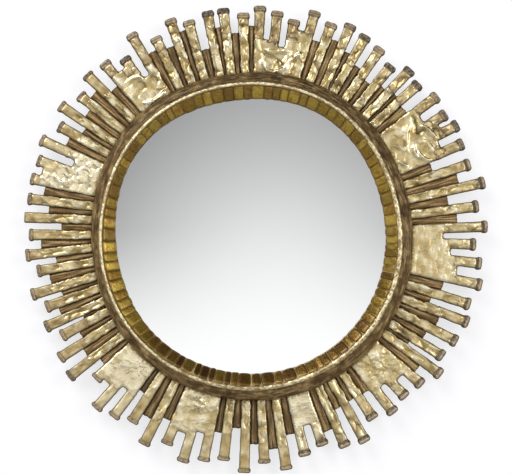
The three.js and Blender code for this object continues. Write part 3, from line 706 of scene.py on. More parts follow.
def zinc_steel():
    """Zinc-plated steel: grey metal with the plating's soft spangle and fine scratches."""
    material, tree = new_material("zinc_plated_steel")
    place = add(tree, "ShaderNodeTexCoord").outputs["Object"]
    spangle = add(tree, "ShaderNodeTexVoronoi", {"Vector": place, "Scale": 450.0})
    haze = add(tree, "ShaderNodeTexNoise", {"Vector": place, "Scale": 120.0, "Detail": 4.0})
    rough = add(tree, "ShaderNodeMapRange", {
        "Value": haze.outputs["Fac"], "From Min": 0.3, "From Max": 0.7, "To Min": 0.28, "To Max": 0.48,
    })
    tint = add(tree, "ShaderNodeSeparateColor", {0: spangle.outputs["Color"]})
    colour = add(tree, "ShaderNodeMix", {
        "Factor": tint.outputs[0], 6: linear("#a9aaa8"), 7: linear("#c6c7c4"),
    }, data_type="RGBA")
    scratch_map = add(tree, "ShaderNodeMapping", {"Vector": place, "Scale": (1500.0, 1500.0, 90.0)})
    scratch = add(tree, "ShaderNodeTexNoise", {"Vector": scratch_map.outputs[0], "Scale": 1.0, "Detail": 2.0})
    bump = add(tree, "ShaderNodeBump", {
        "Height": scratch.outputs["Fac"], "Strength": 0.15, "Distance": 0.0002,
    })
    shader = add(tree, "ShaderNodeBsdfPrincipled", {
        "Base Color": colour.outputs[2], "Metallic": 1.0, "Roughness": rough.outputs[0],
        "Normal": bump.outputs[0],
    })
    add(tree, "ShaderNodeOutputMaterial", {"Surface": shader.outputs[0]})
    return material


# ---------- the gilded star ----------


def reached(hundredths):
    """The radius that a reach in hundredths leads to."""
    return COLLAR_RADIUS + FAN_REACH * hundredths / 100.0


def on_face(degrees, radius):
    """A point on the face, by clockwise degrees from the top and radius."""
    angle = math.radians(degrees)
    return np.array([radius * math.sin(angle), radius * math.cos(angle)])


def finger_frame(row, turn):
    """A finger's root, its unit direction and its length, in a piece's own upright grid, which is turned by
    turn degrees clockwise from the face."""
    root = on_face(row[0] - turn, ROOT_RADIUS)
    tip = on_face(row[1] - turn, reached(row[2]))
    length = float(np.linalg.norm(tip - root))
    return root, (tip - root) / length, length


def finger_places(u, v, finger):
    """Where points lie beside a finger: millimetres across it clockwise, and along it from its root."""
    root, heading, _ = finger
    du, dv = u - root[0], v - root[1]
    return du * heading[1] - dv * heading[0], du * heading[0] + dv * heading[1]


def rounded(across, up, half_width, half_length, radius):
    """Signed distance to a rectangle with rounded corners, about its middle."""
    qa = np.abs(across) - (half_width - radius)
    qb = np.abs(up) - (half_length - radius)
    return np.hypot(np.maximum(qa, 0.0), np.maximum(qb, 0.0)) + np.minimum(np.maximum(qa, qb), 0.0) - radius


def bar_distance(u, v, finger):
    """Signed distance to a finger's bar, which widens from its root to its tip."""
    across, up = finger_places(u, v, finger)
    share = np.clip(up / finger[2], 0.0, 1.1)
    half = (ROOT_WIDTH + (TIP_WIDTH - ROOT_WIDTH) * share) / 2.0
    return rounded(across, up - finger[2] / 2.0 + 2.0, half, finger[2] / 2.0 + 1.0, 1.2)


def lip_distance(u, v, finger, length):
    """Signed distance to the lip across a finger's end, which bows outwards in its middle."""
    across, up = finger_places(u, v, finger)
    bowed = up - (finger[2] - length / 2.0) + 0.012 * across ** 2
    return rounded(across, bowed, LIP_WIDTH / 2.0, length / 2.0, 0.45 * length)


def melted(first, second, reach):
    """The smaller of two distances, with the notch between them filled out to reach."""
    near = np.maximum(reach - np.abs(first - second), 0.0)
    return np.minimum(first, second) - near * near / (4.0 * reach)


def gusset_distance(u, v, first, second, radius):
    """Signed distance to the gilt between two fingers' middle lines, out to a radius."""
    across_first, _ = finger_places(u, v, first)
    across_second, _ = finger_places(u, v, second)
    return np.maximum(np.maximum(np.hypot(u, v) - radius, -across_first), across_second)


def sector(turn):
    """Which way round the star a piece sits, which decides how its ends are cast."""
    if 60.0 < turn < 168.0:
        return "right"
    if 168.0 <= turn < 228.0:
        return "bottom"
    return "left" if 228.0 <= turn < 318.0 else "top"


# How the leaf and the cast ends differ round the star. Glaze is a level, its streaks and its blots.
RAY_GLAZE = {
    "top": (0.15, 0.2, 0.65), "right": (0.0, 0.15, 0.4), "bottom": (-0.15, 0.3, 0.4),
    "left": (0.1, 0.35, 0.4),
}
PANEL_GLAZE = {
    "gilt_panel_1": (0.25, 0.1, 0.5), "gilt_panel_2": (0.1, 0.1, 0.45), "gilt_panel_3": (0.0, 0.1, 0.25),
    "gilt_panel_5": (-0.3, 0.06, 0.2), "gilt_panel_7": (-0.3, 0.06, 0.2), "gilt_panel_8": (-0.3, 0.06, 0.2),
    "gilt_panel_9": (0.05, 0.1, 0.4),
}
# how much paler each panel's leaf is: leaf rubbed pale, and painted highlight
PANEL_PAINTED_HIGHLIGHT = {
    "gilt_panel_3": 0.35, "gilt_panel_4": 0.2, "gilt_panel_5": 0.95, "gilt_panel_6": 0.6,
    "gilt_panel_7": 1.05, "gilt_panel_8": 1.1, "gilt_panel_9": 0.4,
}
RAY_CRUMPLE = {"top": 1.15, "right": 1.2, "bottom": 1.0, "left": 1.1}
STUB_CRUMPLE = {"top": 1.0, "right": 0.9, "bottom": 0.3, "left": 0.5}
LEAF_END_SHADE = {"top": 0.9, "right": 0.3, "bottom": 0.15, "left": 0.4}
LIP_DARKNESS = {"top": 0.95, "right": 0.35, "bottom": 0.4, "left": 0.6}
LIP_BARE = {"top": 0.95, "right": 0.85, "bottom": 0.8, "left": 0.85}
LIP_LENGTHS = {"top": LIP_LENGTH, "right": LIP_LENGTH, "bottom": 4.6, "left": 4.8}
SIDE_WOBBLE = {"top": 0.9, "right": 0.45, "bottom": 0.65, "left": 0.7}
OUTER_LEAF = {"top": 0.85, "right": 0.7, "bottom": 0.6, "left": 0.35}
WEB_DARKER = {"top": 0.13, "right": 0.0, "bottom": 0.4, "left": 0.0}


def make_gilded(name, rows, material, seed):
    """One gilded piece of the star: plaque, leaf, stubs and lips, on a grid turned to its own middle."""
    turn = sum(row[0] for row in rows) / len(rows)
    fingers = [finger_frame(row, turn) for row in rows]
    panel = name.startswith("gilt_panel")
    pair = name.startswith("ray_pair")
    where = sector(turn)
    wobble = 1.1 if 105.0 < turn < 160.0 else SIDE_WOBBLE[where]
    lip_length = LIP_LENGTHS[where]
    # one finger on the left ends without a lip, and one lip at the top is nearly black
    capless = name == "ray_57"
    lip_darkness = np.random.default_rng(seed + 30).uniform(0.0, LIP_DARKNESS[where], len(rows))
    if name == "ray_09":
        lip_darkness[:] = 0.9
    leaf_end = reached(np.mean([row[3] for row in rows]))

    def body_distance(u, v):
        whole = bar_distance(u, v, fingers[0])
        for finger in fingers[1:]:
            whole = np.minimum(whole, bar_distance(u, v, finger))
        for i, row in enumerate(rows[:-1]):
            radius = ROOT_RADIUS + BRIDGE if pair else reached(row[3])
            gusset = gusset_distance(u, v, fingers[i], fingers[i + 1], radius)
            whole = melted(whole, gusset, 3.0 if panel else 1.0)
        ragged = wobble * (0.3 + 0.7 * smooth(8.0, -8.0, np.hypot(u, v) - leaf_end))
        return whole + ragged * (swell(u / 11.0, v / 11.0, seed) + 0.75 * swell(u / 4.5, v / 4.5, seed + 20))

    def all_lips(u, v):
        if capless:
            return np.full(u.shape, 9.0)
        lips = np.min([lip_distance(u, v, finger, lip_length) for finger in fingers], axis=0)
        return lips + 0.5 * swell(u / 5.0, v / 5.0, seed + 21)

    def outline(u, v):
        return melted(body_distance(u, v), all_lips(u, v), 2.5)

    def height(u, v, depth):
        body, lips = -body_distance(u, v), -all_lips(u, v)
        places = [finger_places(u, v, finger) for finger in fingers]
        own = np.argmin([np.abs(across) for across, _ in places], axis=0)
        across = np.choose(own, [a for a, _ in places])
        from_tip = np.choose(own, [finger[2] - up for finger, (_, up) in zip(fingers, places)])
        x, y = face_places(u, v, turn)
        # the inner leaf reaches to the webs, and a second one carries on nearly to the lips, thinner lower
        # down
        webs = [row[3] for row in rows]
        ends = [reached(np.mean([web, webs[i - 1]]) if panel and i else web) for i, web in enumerate(webs)]
        beyond = np.hypot(u, v) + 3.0 * swell(u / 6.0, v / 6.0, seed + 22) - np.choose(own, ends)
        inner = 1.0 - smooth(-1.5, 2.5, beyond)
        kept = 0.4 if panel and where == "top" else OUTER_LEAF[where]
        leaf = np.maximum(inner, kept * smooth(1.5, 5.0, beyond))
        clear_of_collar = smooth(COLLAR_RADIUS - 1.0, COLLAR_RADIUS + 5.0, np.hypot(x, y))
        work, crease = worked_leaf(name, where, u, v, seed)
        drawn, deep = folded(x, y, FOLDS.get(name, []))
        crumple, stub_crease = crushed(u, v * 0.65, seed + 60, 9.0)
        stub = STUB_CRUMPLE[where] * crumple + 0.4 * swell(u / 7.0, v / 12.0, seed + 23)
        crush = clear_of_collar * (inner * work + (1.0 - inner) * stub + drawn)
        creased = inner * crease + (1.0 - inner) * STUB_CRUMPLE[where] * stub_crease
        # a dark line where the leaf ends: painted shade of the leaf's edge
        brown_mark = np.exp(-((beyond / 1.6) ** 2)) * LEAF_END_SHADE[where]
        roll = 4.0 if panel else 2.6
        rim = roll - np.sqrt(roll ** 2 - (roll - np.clip(body, 0.0, roll)) ** 2)
        z_body = FINGER_FRONT + 0.2 + crush - 0.6 * rim
        z_lip, line = lip_shape(where, from_tip, lips, lip_length)
        z_lip = z_lip + 0.35 * swell(u / 4.0, v / 4.0, seed + 25)
        on_lip = smooth(-0.3, 0.3, lips)
        # the groove round each lip, darkened below with painted shade
        groove = (1.0 - 0.8 * on_lip) * np.exp(-((lips / 1.1) ** 2))
        z = z_body * (1.0 - on_lip) + z_lip * on_lip - 0.8 * groove
        broad_streaks = swell(across / 2.0, from_tip / 15.0, seed + 26)
        streaks = broad_streaks + 0.7 * swell(across / 1.2, from_tip / 8.0, seed + 27)
        blots = swell(u / 9.0, v / 12.0, seed + 28)
        patch = swell(u / 14.0, v / 14.0, seed + 32)
        level, streaked, blotted = PANEL_GLAZE.get(name, (-0.12, 0.06, 0.2)) if panel else RAY_GLAZE[where]
        least = 0.25 if panel and where == "top" else 0.05
        left_on_stubs = least + 0.3 * swell(u / 6.0, v / 6.0, seed + 29)
        glaze = level + streaked * streaks + blotted * blots - 0.25 * patch + (1.0 - inner) * left_on_stubs
        # painted shade of the collar, darkening the leaf at its foot
        from_collar = np.hypot(x, y) - COLLAR_RADIUS - wander(np.arctan2(x, y), COLLAR_WANDER)
        collar_foot_shade = 0.75 * smooth(3.5, 0.5, from_collar + 3.0 * swell(u / 3.5, v / 3.5, seed + 33))
        hollow = np.maximum.reduce([creased, deep, brown_mark, collar_foot_shade, np.clip(-0.7 - crush, 0.0, 1.0)])
        # paler crests and patches: partly leaf rubbed pale, partly painted highlights
        rubbed_and_highlit = 0.8 * patch + 0.3 * swell(u / 5.0, v / 7.0, seed + 31)
        bright = PANEL_PAINTED_HIGHLIGHT.get(name, 0.1) + 0.35 * crush + rubbed_and_highlit
        pooled = 0.55 if panel or where == "bottom" else 0.9
        # the lips are mottled: gilding is left in some spots, and others have gone dark
        mottled = swell(u / 3.6, v / 3.6, seed + 34) + 0.5 * swell(u / 1.7, v / 1.7, seed + 35)
        return np.maximum(z, FINGER_BACK + 1.0), {
            "leaf": leaf * (1.0 - on_lip),
            "lip": on_lip * (LIP_BARE[where] - 0.5 * np.clip(mottled, 0.0, 1.0)),
            "pale": leaf * clear_of_collar * (1.0 - on_lip) * np.clip(bright, 0.0, 1.0),
            # hollow: patina in the creases, and painted shade at the collar's foot, the leaf's end and the
            # lips' grooves
            "hollow": np.maximum(hollow * (1.0 - on_lip) + on_lip * line, groove),
            "low": pooled * clear_of_collar * np.clip(0.4 - 0.7 * crush, 0.0, 1.0) * (1.0 - 0.5 * on_lip),
            "glaze": np.clip(glaze, 0.0, 0.85) * (1.0 - 0.5 * on_lip),
            "dark": on_lip * np.clip(lip_darkness[own] - 0.6 * mottled - 0.05, 0.0, 1.0),
        }

    reach = max(finger[2] for finger in fingers) + ROOT_RADIUS + 4.0
    roots = [root for root, _, _ in fingers]
    tips = [root + heading * length for root, heading, length in fingers]
    corners = np.array(roots + tips)
    extent = ((corners[:, 0].min() - 11.0, corners[:, 0].max() + 11.0), (corners[:, 1].min() - 3.0, reach))
    points, quads, layers = relief(outline, height, extent, GILDED_STEP, FINGER_BACK)
    points[:, :2] = turned_back(points[:, :2], turn)
    piece("gilded_" + name, points, quads, material, [name], layers=layers)


def lip_shape(where, from_tip, inside, length):
    """The lip's front and its dark line, painted shade in the groove that parts it, from how far inside its
    outline a point lies: an oval on a neck darkened with painted shade on the right, two stacked bands at the
    top, and a thin flared rim elsewhere."""
    swollen = np.clip(np.maximum(inside, 0.0) / (3.0 if where == "right" else 1.8), 0.0, 1.0)
    dome = np.sqrt(1.0 - (1.0 - swollen) ** 2)
    if where == "right":
        neck = smooth(0.5, 0.62, from_tip / length)
        return FINGER_FRONT - 1.4 + 3.4 * dome - 1.3 * neck, neck
    line = {"top": 4.3, "bottom": length - 1.3, "left": 0.55 * length}[where]
    split = np.exp(-(((from_tip - line) / 0.7) ** 2))
    darkness = {"top": 0.9, "bottom": 0.6, "left": 0.8}[where]
    return FINGER_FRONT - 1.2 + 2.3 * dome - 0.8 * split, darkness * split


def face_places(u, v, turn):
    """A piece's own upright grid as places on the face."""
    face = math.radians(turn)
    return u * math.cos(face) + v * math.sin(face), v * math.cos(face) - u * math.sin(face)


def turned_back(points, turn):
    """Points of an upright grid, turned clockwise about the middle of the face to where they belong."""
    angle = math.radians(turn)
    return points @ np.array([[math.cos(angle), -math.sin(angle)], [math.sin(angle), math.cos(angle)]])


def around(u, v, middle_v, wide):
    """1 where u is nothing and v is middle_v, falling to nothing over a width."""
    return np.exp(-((u / wide) ** 2) - ((v - middle_v) / wide) ** 2)


def worked_leaf(name, where, u, v, seed):
    """The leaf's own relief on one piece and its creases. The panels are each worked differently: folds on
    the first two, then waves, a crumpled middle, fine lines round, a pitted knot of wrinkles, pits and
    scratches, and loose crumple on the last two. The rays are crumpled, strongly at the top."""
    smooth_leaf = satin(u, v, seed)
    if name in ("gilt_panel_1", "gilt_panel_2"):
        crumple, crease = crushed(u, v, seed, 12.0)
        return smooth_leaf + 0.3 * crumple, 0.35 * crease
    if name == "gilt_panel_3":
        crumple, crease = crushed(u, v, seed, 5.0)
        waves = swell(u / 14.0, v / 5.0, seed + 11) + 0.4 * swell(u / 9.0, v / 2.2, seed + 12)
        return 0.5 * smooth_leaf + 0.35 * waves + 0.2 * crumple, 0.4 * crease
    if name == "gilt_panel_4":
        crumple, crease = crushed(u, v, seed, 6.0)
        middle = 0.45 + 0.7 * around(u, v, 243.0, 13.0)
        return 0.7 * smooth_leaf + middle * crumple, 0.4 * middle * crease
    if name == "gilt_panel_5":
        lines = swell(u / 10.0, v / 1.4, seed + 12)
        return 0.9 * smooth_leaf + 0.2 * lines, 0.4 * np.maximum(lines - 0.3, 0.0)
    if name == "gilt_panel_6":
        crumple, crease = crushed(u, v, seed, 6.5)
        knot = 0.3 + 1.3 * around(u, v, 234.0, 10.0)
        pits = 0.8 * smooth(0.25, 0.55, swell(u / 2.4, v / 2.4, seed + 14)) * around(u, v, 236.0, 13.0)
        return 0.7 * smooth_leaf + knot * crumple - 0.4 * pits, 0.7 * knot * crease + pits
    if name == "gilt_panel_7":
        crumple, crease = crushed(u, v, seed, 6.0)
        bearing = np.arctan2(u + 4.0, v - 232.0)
        scratches = swell(bearing * 5.0, np.hypot(u + 4.0, v - 232.0) / 14.0, seed + 13)
        pits = 0.9 * smooth(0.35, 0.6, swell(u / 2.4, v / 2.4, seed + 14)) * around(u + 9.0, v, 236.0, 13.0)
        knot = around(u - 18.0, v, 251.0, 7.0)
        creased = 0.25 * np.maximum(scratches - 0.35, 0.0) + (0.15 + 0.7 * knot) * crease + pits
        return 0.6 * smooth_leaf + 0.2 * scratches + (0.12 + 0.9 * knot) * crumple - 0.4 * pits, creased
    if name == "gilt_panel_8":
        crumple, crease = crushed(u, v, seed, 7.5)
        return 0.7 * smooth_leaf + 0.6 * crumple, 0.5 * crease
    if name == "gilt_panel_9":
        crumple, crease = crushed(u, v, seed, 11.0)
        return 1.1 * smooth_leaf + 0.4 * crumple, 0.35 * crease
    stretch, size = (0.65, 10.0) if where == "top" else (0.45, 8.0)
    crumple, crease = crushed(u, v * stretch, seed, size)
    return RAY_CRUMPLE[where] * crumple + 0.35 * smooth_leaf, 0.8 * crease


def make_webs(material):
    """The webs between the pieces: bars with a low crown and streaks along them, from under the collar to
    their own radius, a little clear of the fingers beside them."""
    rows = [
        (row, name.startswith("gilt_panel") and i < len(group) - 1)
        for name, group in STAR.items() for i, row in enumerate(group)
    ]
    all_points, all_quads, all_lift, all_tone, count = [], [], [], [], 0
    for i, (row, inside_panel) in enumerate(rows):
        if inside_panel:
            continue
        after = rows[(i + 1) % len(rows)][0]
        step_round = (after[0] - row[0]) % 360.0
        turn = row[0] + step_round / 2.0
        first = finger_frame(row, turn)
        next_turn = 360.0 if after[0] < row[0] else 0.0
        second = finger_frame([after[0] + next_turn, after[1] + next_turn, *after[2:]], turn)
        end = reached(row[3])
        seed = 900 + i

        def outline(u, v):
            beside = np.maximum(-bar_distance(u, v, first), -bar_distance(u, v, second)) + 0.1
            across_first, _ = finger_places(u, v, first)
            across_second, _ = finger_places(u, v, second)
            between = np.maximum(-across_first, across_second)
            ring = np.maximum(v - end + 0.8 * swell(u / 3.5, v / 3.5, seed), ROOT_RADIUS + BRIDGE + 0.5 - v)
            return np.maximum(np.maximum(beside, between), ring)

        def height(u, v, depth):
            streak = swell(u / 1.6, v / 24.0, seed + 1) + 0.7 * swell(u / 3.4, v / 40.0, seed + 2)
            crown = 1.5 * (1.0 - (1.0 - np.clip(depth / 3.0, 0.0, 1.0)) ** 2)
            lift = 0.6 * streak + crown
            # lighter in the middle and darker near the edges: painted shade beside the fingers
            inside = np.clip(depth / 2.5, 0.0, 1.0)
            layers = {"lift": 0.9 * streak + 0.35 * inside, "tone": 0.4 * (1.0 - inside)}
            return WEB_FRONT + 0.3 + lift, layers

        extent = ((-16.0, 16.0), (ROOT_RADIUS + BRIDGE - 1.0, end + 3.0))
        points, quads, layers = relief(outline, height, extent, WEB_STEP, PLATE_FRONT - 1.0)
        points[:, :2] = turned_back(points[:, :2], turn)
        all_points.append(points)
        all_quads.append(quads + count)
        all_lift.append(layers["lift"])
        own_tone = WEB_DARKER[sector(turn)]
        all_tone.append(layers["tone"] + own_tone + np.random.default_rng(seed).uniform(-0.15, 0.2))
        count += len(points)
    piece("star_webs", np.concatenate(all_points), np.concatenate(all_quads), material,
          layers={"lift": np.concatenate(all_lift), "tone": np.concatenate(all_tone)})


# ---------- the ring round the glass ----------


def make_collar(material):
    """The collar: its turned section, combed round with streaks 2 to 5 mm wide."""
    flank_back = FINGER_FRONT + 0.3
    bulge_back, bulge_rise = flank_back + 2.2, CREST_FRONT - flank_back - 2.2
    bulge = [
        (COLLAR_RADIUS - 15.5 * t + 3.2 * math.sin(math.pi * t), bulge_back + bulge_rise * t)
        for t in np.linspace(0.0, 1.0, 12)
    ]
    corners = [
        (FOOT_INNER, FINGER_BACK), (FOOT_OUTER, FINGER_BACK), (FOOT_OUTER, flank_back),
        (COLLAR_RADIUS - 0.8, flank_back), *bulge,
        (CREST_INNER, CREST_FRONT), (CREST_INNER, GLASS_FRONT), (FOOT_INNER, GLASS_FRONT),
    ]
    profile = along(corners, 1.1)
    flank = smooth(flank_back - 0.2, flank_back + 1.5, profile[:, 1]) * (profile[:, 0] > CREST_OUTER - 0.4)

    def worked(way, place):
        index = np.round(place * len(profile)).astype(int) % len(profile)
        steps, across = table_steps(way), place * 60.0
        streaks = swell(steps, across / 1.9, 31) + 0.6 * swell(steps * 2.0, across / 1.1, 32)
        lumps = swell(steps, across / 7.0, 33) + 0.5 * swell(steps * 3.0, across / 5.0, 34)
        return flank[index] * (0.45 * streaks + 0.7 * lumps)

    points, quads, (way, place, lift) = ring_band(profile, COLLAR_TURNS, worked)
    steps, across = table_steps(way), place * 60.0
    combed = swell(steps, across / 1.0, 35) + 0.7 * swell(steps * 3.0, across / 0.8, 36)
    blotched = swell(steps, across / 5.0, 37)
    # darker towards the top, and in its combed streaks and blotches
    tone = 0.28 + 0.38 * np.maximum(np.cos(way - 0.3), 0.0) + 0.65 * combed + 0.2 * blotched
    piece("combed_collar", points, quads, material, ["collar"],
          layers={"lift": lift * 0.8 + 0.4, "tone": np.clip(tone, 0.0, 0.95)})


def make_bead(material):
    """The bead: a low rounded strip, pinched and wrinkled along its length, and laid on thicker low on the
    right."""
    middle, half = (CREST_INNER + CREST_OUTER) / 2.0, (CREST_OUTER - CREST_INNER) / 2.0 + 0.2
    t = np.linspace(0.0, math.pi, 14)
    dome = [(middle + half * math.cos(a), BEAD_BACK + 0.4 + (BEAD_HEIGHT - 0.6) * math.sin(a)) for a in t]
    profile = along([(CREST_INNER, BEAD_BACK), (CREST_OUTER, BEAD_BACK), *dome], 0.8)
    outside = smooth(BEAD_BACK + 0.1, BEAD_BACK + 1.0, profile[:, 1])

    def thicker(way):
        return 0.5 * np.cos(way - math.radians(112.0))

    def worked(way, place):
        index = np.round(place * len(profile)).astype(int) % len(profile)
        steps, across = table_steps(way), place * 14.0
        pinch = 0.3 * swell(steps, across / 40.0, 43) - 0.25 + thicker(way)
        wrinkles = 0.35 * swell(steps * 4.0, across / 3.0, 41) + 0.3 * swell(steps * 7.0, across / 1.6, 42)
        return outside[index] * (pinch + wrinkles)

    points, quads, (way, place, lift) = ring_band(profile, BEAD_TURNS, worked)
    # darker beside its crest, painted shade on its flanks, and less so on the thick part
    thin = smooth(0.5, -0.4, np.cos(way - math.radians(125.0)))
    off_crest = np.abs(place - 0.67) / 0.33
    dulled = 0.9 * thin * smooth(0.2, 0.55, off_crest) + 0.2 * (1.0 - thin)
    patches = 0.35 * swell(table_steps(way), place * 2.0, 44)
    piece("gilded_bead", points, quads, material, ["gilt_bead"],
          layers={"lift": lift - thicker(way) - dulled + patches})


def make_tiles(material, grout):
    """The sloping ring of tiles. Each is a small cushion of glass, a grid over its own wedge of the slope
    whose front bows up by (1 - a^4)(1 - b^4), tipped a little its own way, on a bed of putty."""
    random = np.random.default_rng(51)
    inner, outer = TILE_INNER, TILE_OUTER
    low, high = TILE_BACK + TILE_EDGE, TILE_BACK + TILE_RISE
    bed = along([
        (inner + 0.6, TILE_BACK), (outer + 0.4, TILE_BACK), (outer + 0.4, high - 0.1),
        (inner + 0.6, low - 0.5),
    ], 2.0)
    points, quads, (way, _, _) = ring_band(bed, BED_TURNS, lambda way, place: 0.0 * way)
    low_down = math.radians(150.0)
    piece(
        "tile_bed", points, quads, grout, ["mosaic_ring"],
        layers={"paler_lower_right": smooth(0.15, 0.8, np.cos(way - low_down))},
    )
    slope = math.hypot(outer - inner, high - low)
    radial = np.array([(outer - inner) / slope, (high - low) / slope])
    outward = np.array([-radial[1], radial[0]])
    side = np.linspace(-1.0, 1.0, 8)
    a, b = np.meshgrid(side, side, indexing="ij")
    a, b = a.ravel(), b.ravel()
    tile = np.arange(TILE_COUNT)[:, None]
    cuts = np.cumsum(random.uniform(0.65, 1.4, TILE_COUNT))
    starts = np.concatenate([[0.0], cuts[:-1]]) / cuts[-1] * 2.0 * np.pi
    widths = np.diff(np.concatenate([starts, [2.0 * np.pi]]))
    tips = random.normal(0.0, 0.03, (TILE_COUNT, 2))
    sets = random.uniform(-0.25, 0.2, TILE_COUNT)
    half_gap = TILE_GAP / 2.0 / TILE_MIDDLE
    # corners are nipped off, each tile's by its own share
    nip = random.uniform(0.03, 0.2, (TILE_COUNT, 1))
    narrow, short = 1.0 - nip * b[None, :] ** 4, 1.0 - nip * a[None, :] ** 4
    angle = starts[:, None] + widths[:, None] / 2.0 + a[None, :] * narrow * (widths[:, None] / 2.0 - half_gap)
    edge = np.maximum(np.abs(a), np.abs(b))[None, :]
    down = (b[None, :] * short + 1.0) / 2.0 * (slope + 0.1) + 0.1
    bow = 0.35 * (1.0 - a ** 4) * (1.0 - b ** 4)
    half_wide, half_tall = 6.0, 7.0
    tipped = tips[:, :1] * a[None, :] * half_wide + tips[:, 1:] * b[None, :] * half_tall
    lift = bow[None, :] + tipped + sets[:, None] - 0.25 * (edge > 0.99)
    slant = inner + down * radial[0]
    radius = slant + lift * outward[0] + out_of_round(angle, slant)
    level = low + down * radial[1] + lift * outward[1]
    front = np.stack([radius * np.sin(angle), radius * np.cos(angle), level], -1)
    radius_back = slant - 1.0 * outward[0] + out_of_round(angle, slant)
    level_back = low + down * radial[1] - 1.0 * outward[1] + 0.0 * angle
    back = np.stack([radius_back * np.sin(angle), radius_back * np.cos(angle), level_back], -1)
    n = len(side)
    size = n * n
    i, j = np.meshgrid(np.arange(n - 1), np.arange(n - 1), indexing="ij")
    one = (i * n + j).ravel()
    face = np.stack([one, one + n, one + n + 1, one + 1], 1)
    edges = np.concatenate([face[:, [k, (k + 1) % 4]] for k in range(4)])
    code, other = edges[:, 0] * size + edges[:, 1], edges[:, 1] * size + edges[:, 0]
    rim = edges[~np.isin(code, other)]
    walls = np.stack([rim[:, 1], rim[:, 0], rim[:, 0] + size, rim[:, 1] + size], 1)
    shell = np.concatenate([face, face[:, ::-1] + size, walls])
    points = np.concatenate([front, back], 1).reshape(-1, 3)
    quads = (shell[None, :, :] + tile[:, :, None] * 2 * size).reshape(-1, 4)
    tint = np.repeat(random.uniform(-0.1, 1.3, TILE_COUNT), 2 * size)
    joint = np.tile(np.concatenate([edge[0] ** 5, np.ones(size)]), TILE_COUNT)
    # tiles low down are darkened with painted shade, and a few tiles are brown of their own
    own_shade = random.uniform(0.6, 1.0, TILE_COUNT)
    own_brown = 0.7 * smooth(0.6, 1.0, random.uniform(0.0, 1.0, TILE_COUNT))
    brown_and_shaded = np.maximum(own_shade * smooth(0.1, 0.75, np.cos(starts - math.radians(165.0))), own_brown)
    under = np.repeat(brown_and_shaded, 2 * size)
    piece(
        "mirror_tiles", points, quads, material, ["mosaic_ring"],
        layers={"tint": tint, "joint": joint, "under": under},
    )


# ---------- the camera, the studio and the light ----------


def make_camera():
    """The photograph's view: from below the middle, square to the wall but for a small tilt upwards."""
    data = bpy.data.cameras.new("view")
    sensor, distance, width_seen, drawn_in = 36.0, 2.5, 0.683, 1.006
    data.sensor_width = sensor
    data.lens = sensor * distance / width_seen * drawn_in
    data.shift_x = 0.006
    data.shift_y = 0.13
    data.clip_end = 60.0
    camera = bpy.data.objects.new("view", data)
    # placed so that the rays and the ring lie over the photograph's
    camera.location = (0.0022, -2.5245, -0.2444)
    camera.rotation_euler = (math.radians(90.0 + 3.5), 0.0, 0.0)
    bpy.context.scene.collection.objects.link(camera)
    bpy.context.scene.camera = camera


def studio_plane(name, corners, material):
    mesh = bpy.data.meshes.new(name)
    mesh.from_pydata(corners, [], [(0, 1, 2, 3)])
    mesh.materials.append(material)
    made = bpy.data.objects.new(name, mesh)
    bpy.context.scene.collection.objects.link(made)
    return made


def make_studio():
    """A pale floor, and a white wall behind the mirror that only the camera sees, from in front."""
    wall_paint, tree = new_material("white_wall_paint")
    paint = add(tree, "ShaderNodeBsdfDiffuse", {"Color": (0.34, 0.34, 0.36, 1.0)})
    glow = add(tree, "ShaderNodeEmission", {"Color": (1.0, 1.0, 1.0, 1.0), "Strength": 0.7})
    both = add(tree, "ShaderNodeAddShader", {0: paint.outputs[0], 1: glow.outputs[0]})
    clear = add(tree, "ShaderNodeBsdfTransparent")
    side = add(tree, "ShaderNodeNewGeometry")
    front_only = add(tree, "ShaderNodeMixShader", {
        0: side.outputs["Backfacing"], 1: both.outputs[0], 2: clear.outputs[0],
    })
    add(tree, "ShaderNodeOutputMaterial", {"Surface": front_only.outputs[0]})
    # the wall stands just behind the mirror's back, and both sheets reach 6 m
    reach, behind, floor_level = 6, 0.0012, -0.5
    wall = studio_plane("wall", [
        (-reach, behind, floor_level), (reach, behind, floor_level), (reach, behind, reach),
        (-reach, behind, reach),
    ], wall_paint)
    wall.visible_diffuse = wall.visible_glossy = wall.visible_transmission = wall.visible_shadow = False
    floor_paper, tree = new_material("pale_paper_floor")
    paper = add(tree, "ShaderNodeBsdfDiffuse", {"Color": (0.82, 0.82, 0.83, 1.0)})
    add(tree, "ShaderNodeOutputMaterial", {"Surface": paper.outputs[0]})
    studio_plane("floor", [
        (-reach, -reach, floor_level), (reach, -reach, floor_level), (reach, reach, floor_level),
        (-reach, reach, floor_level),
    ], floor_paper)


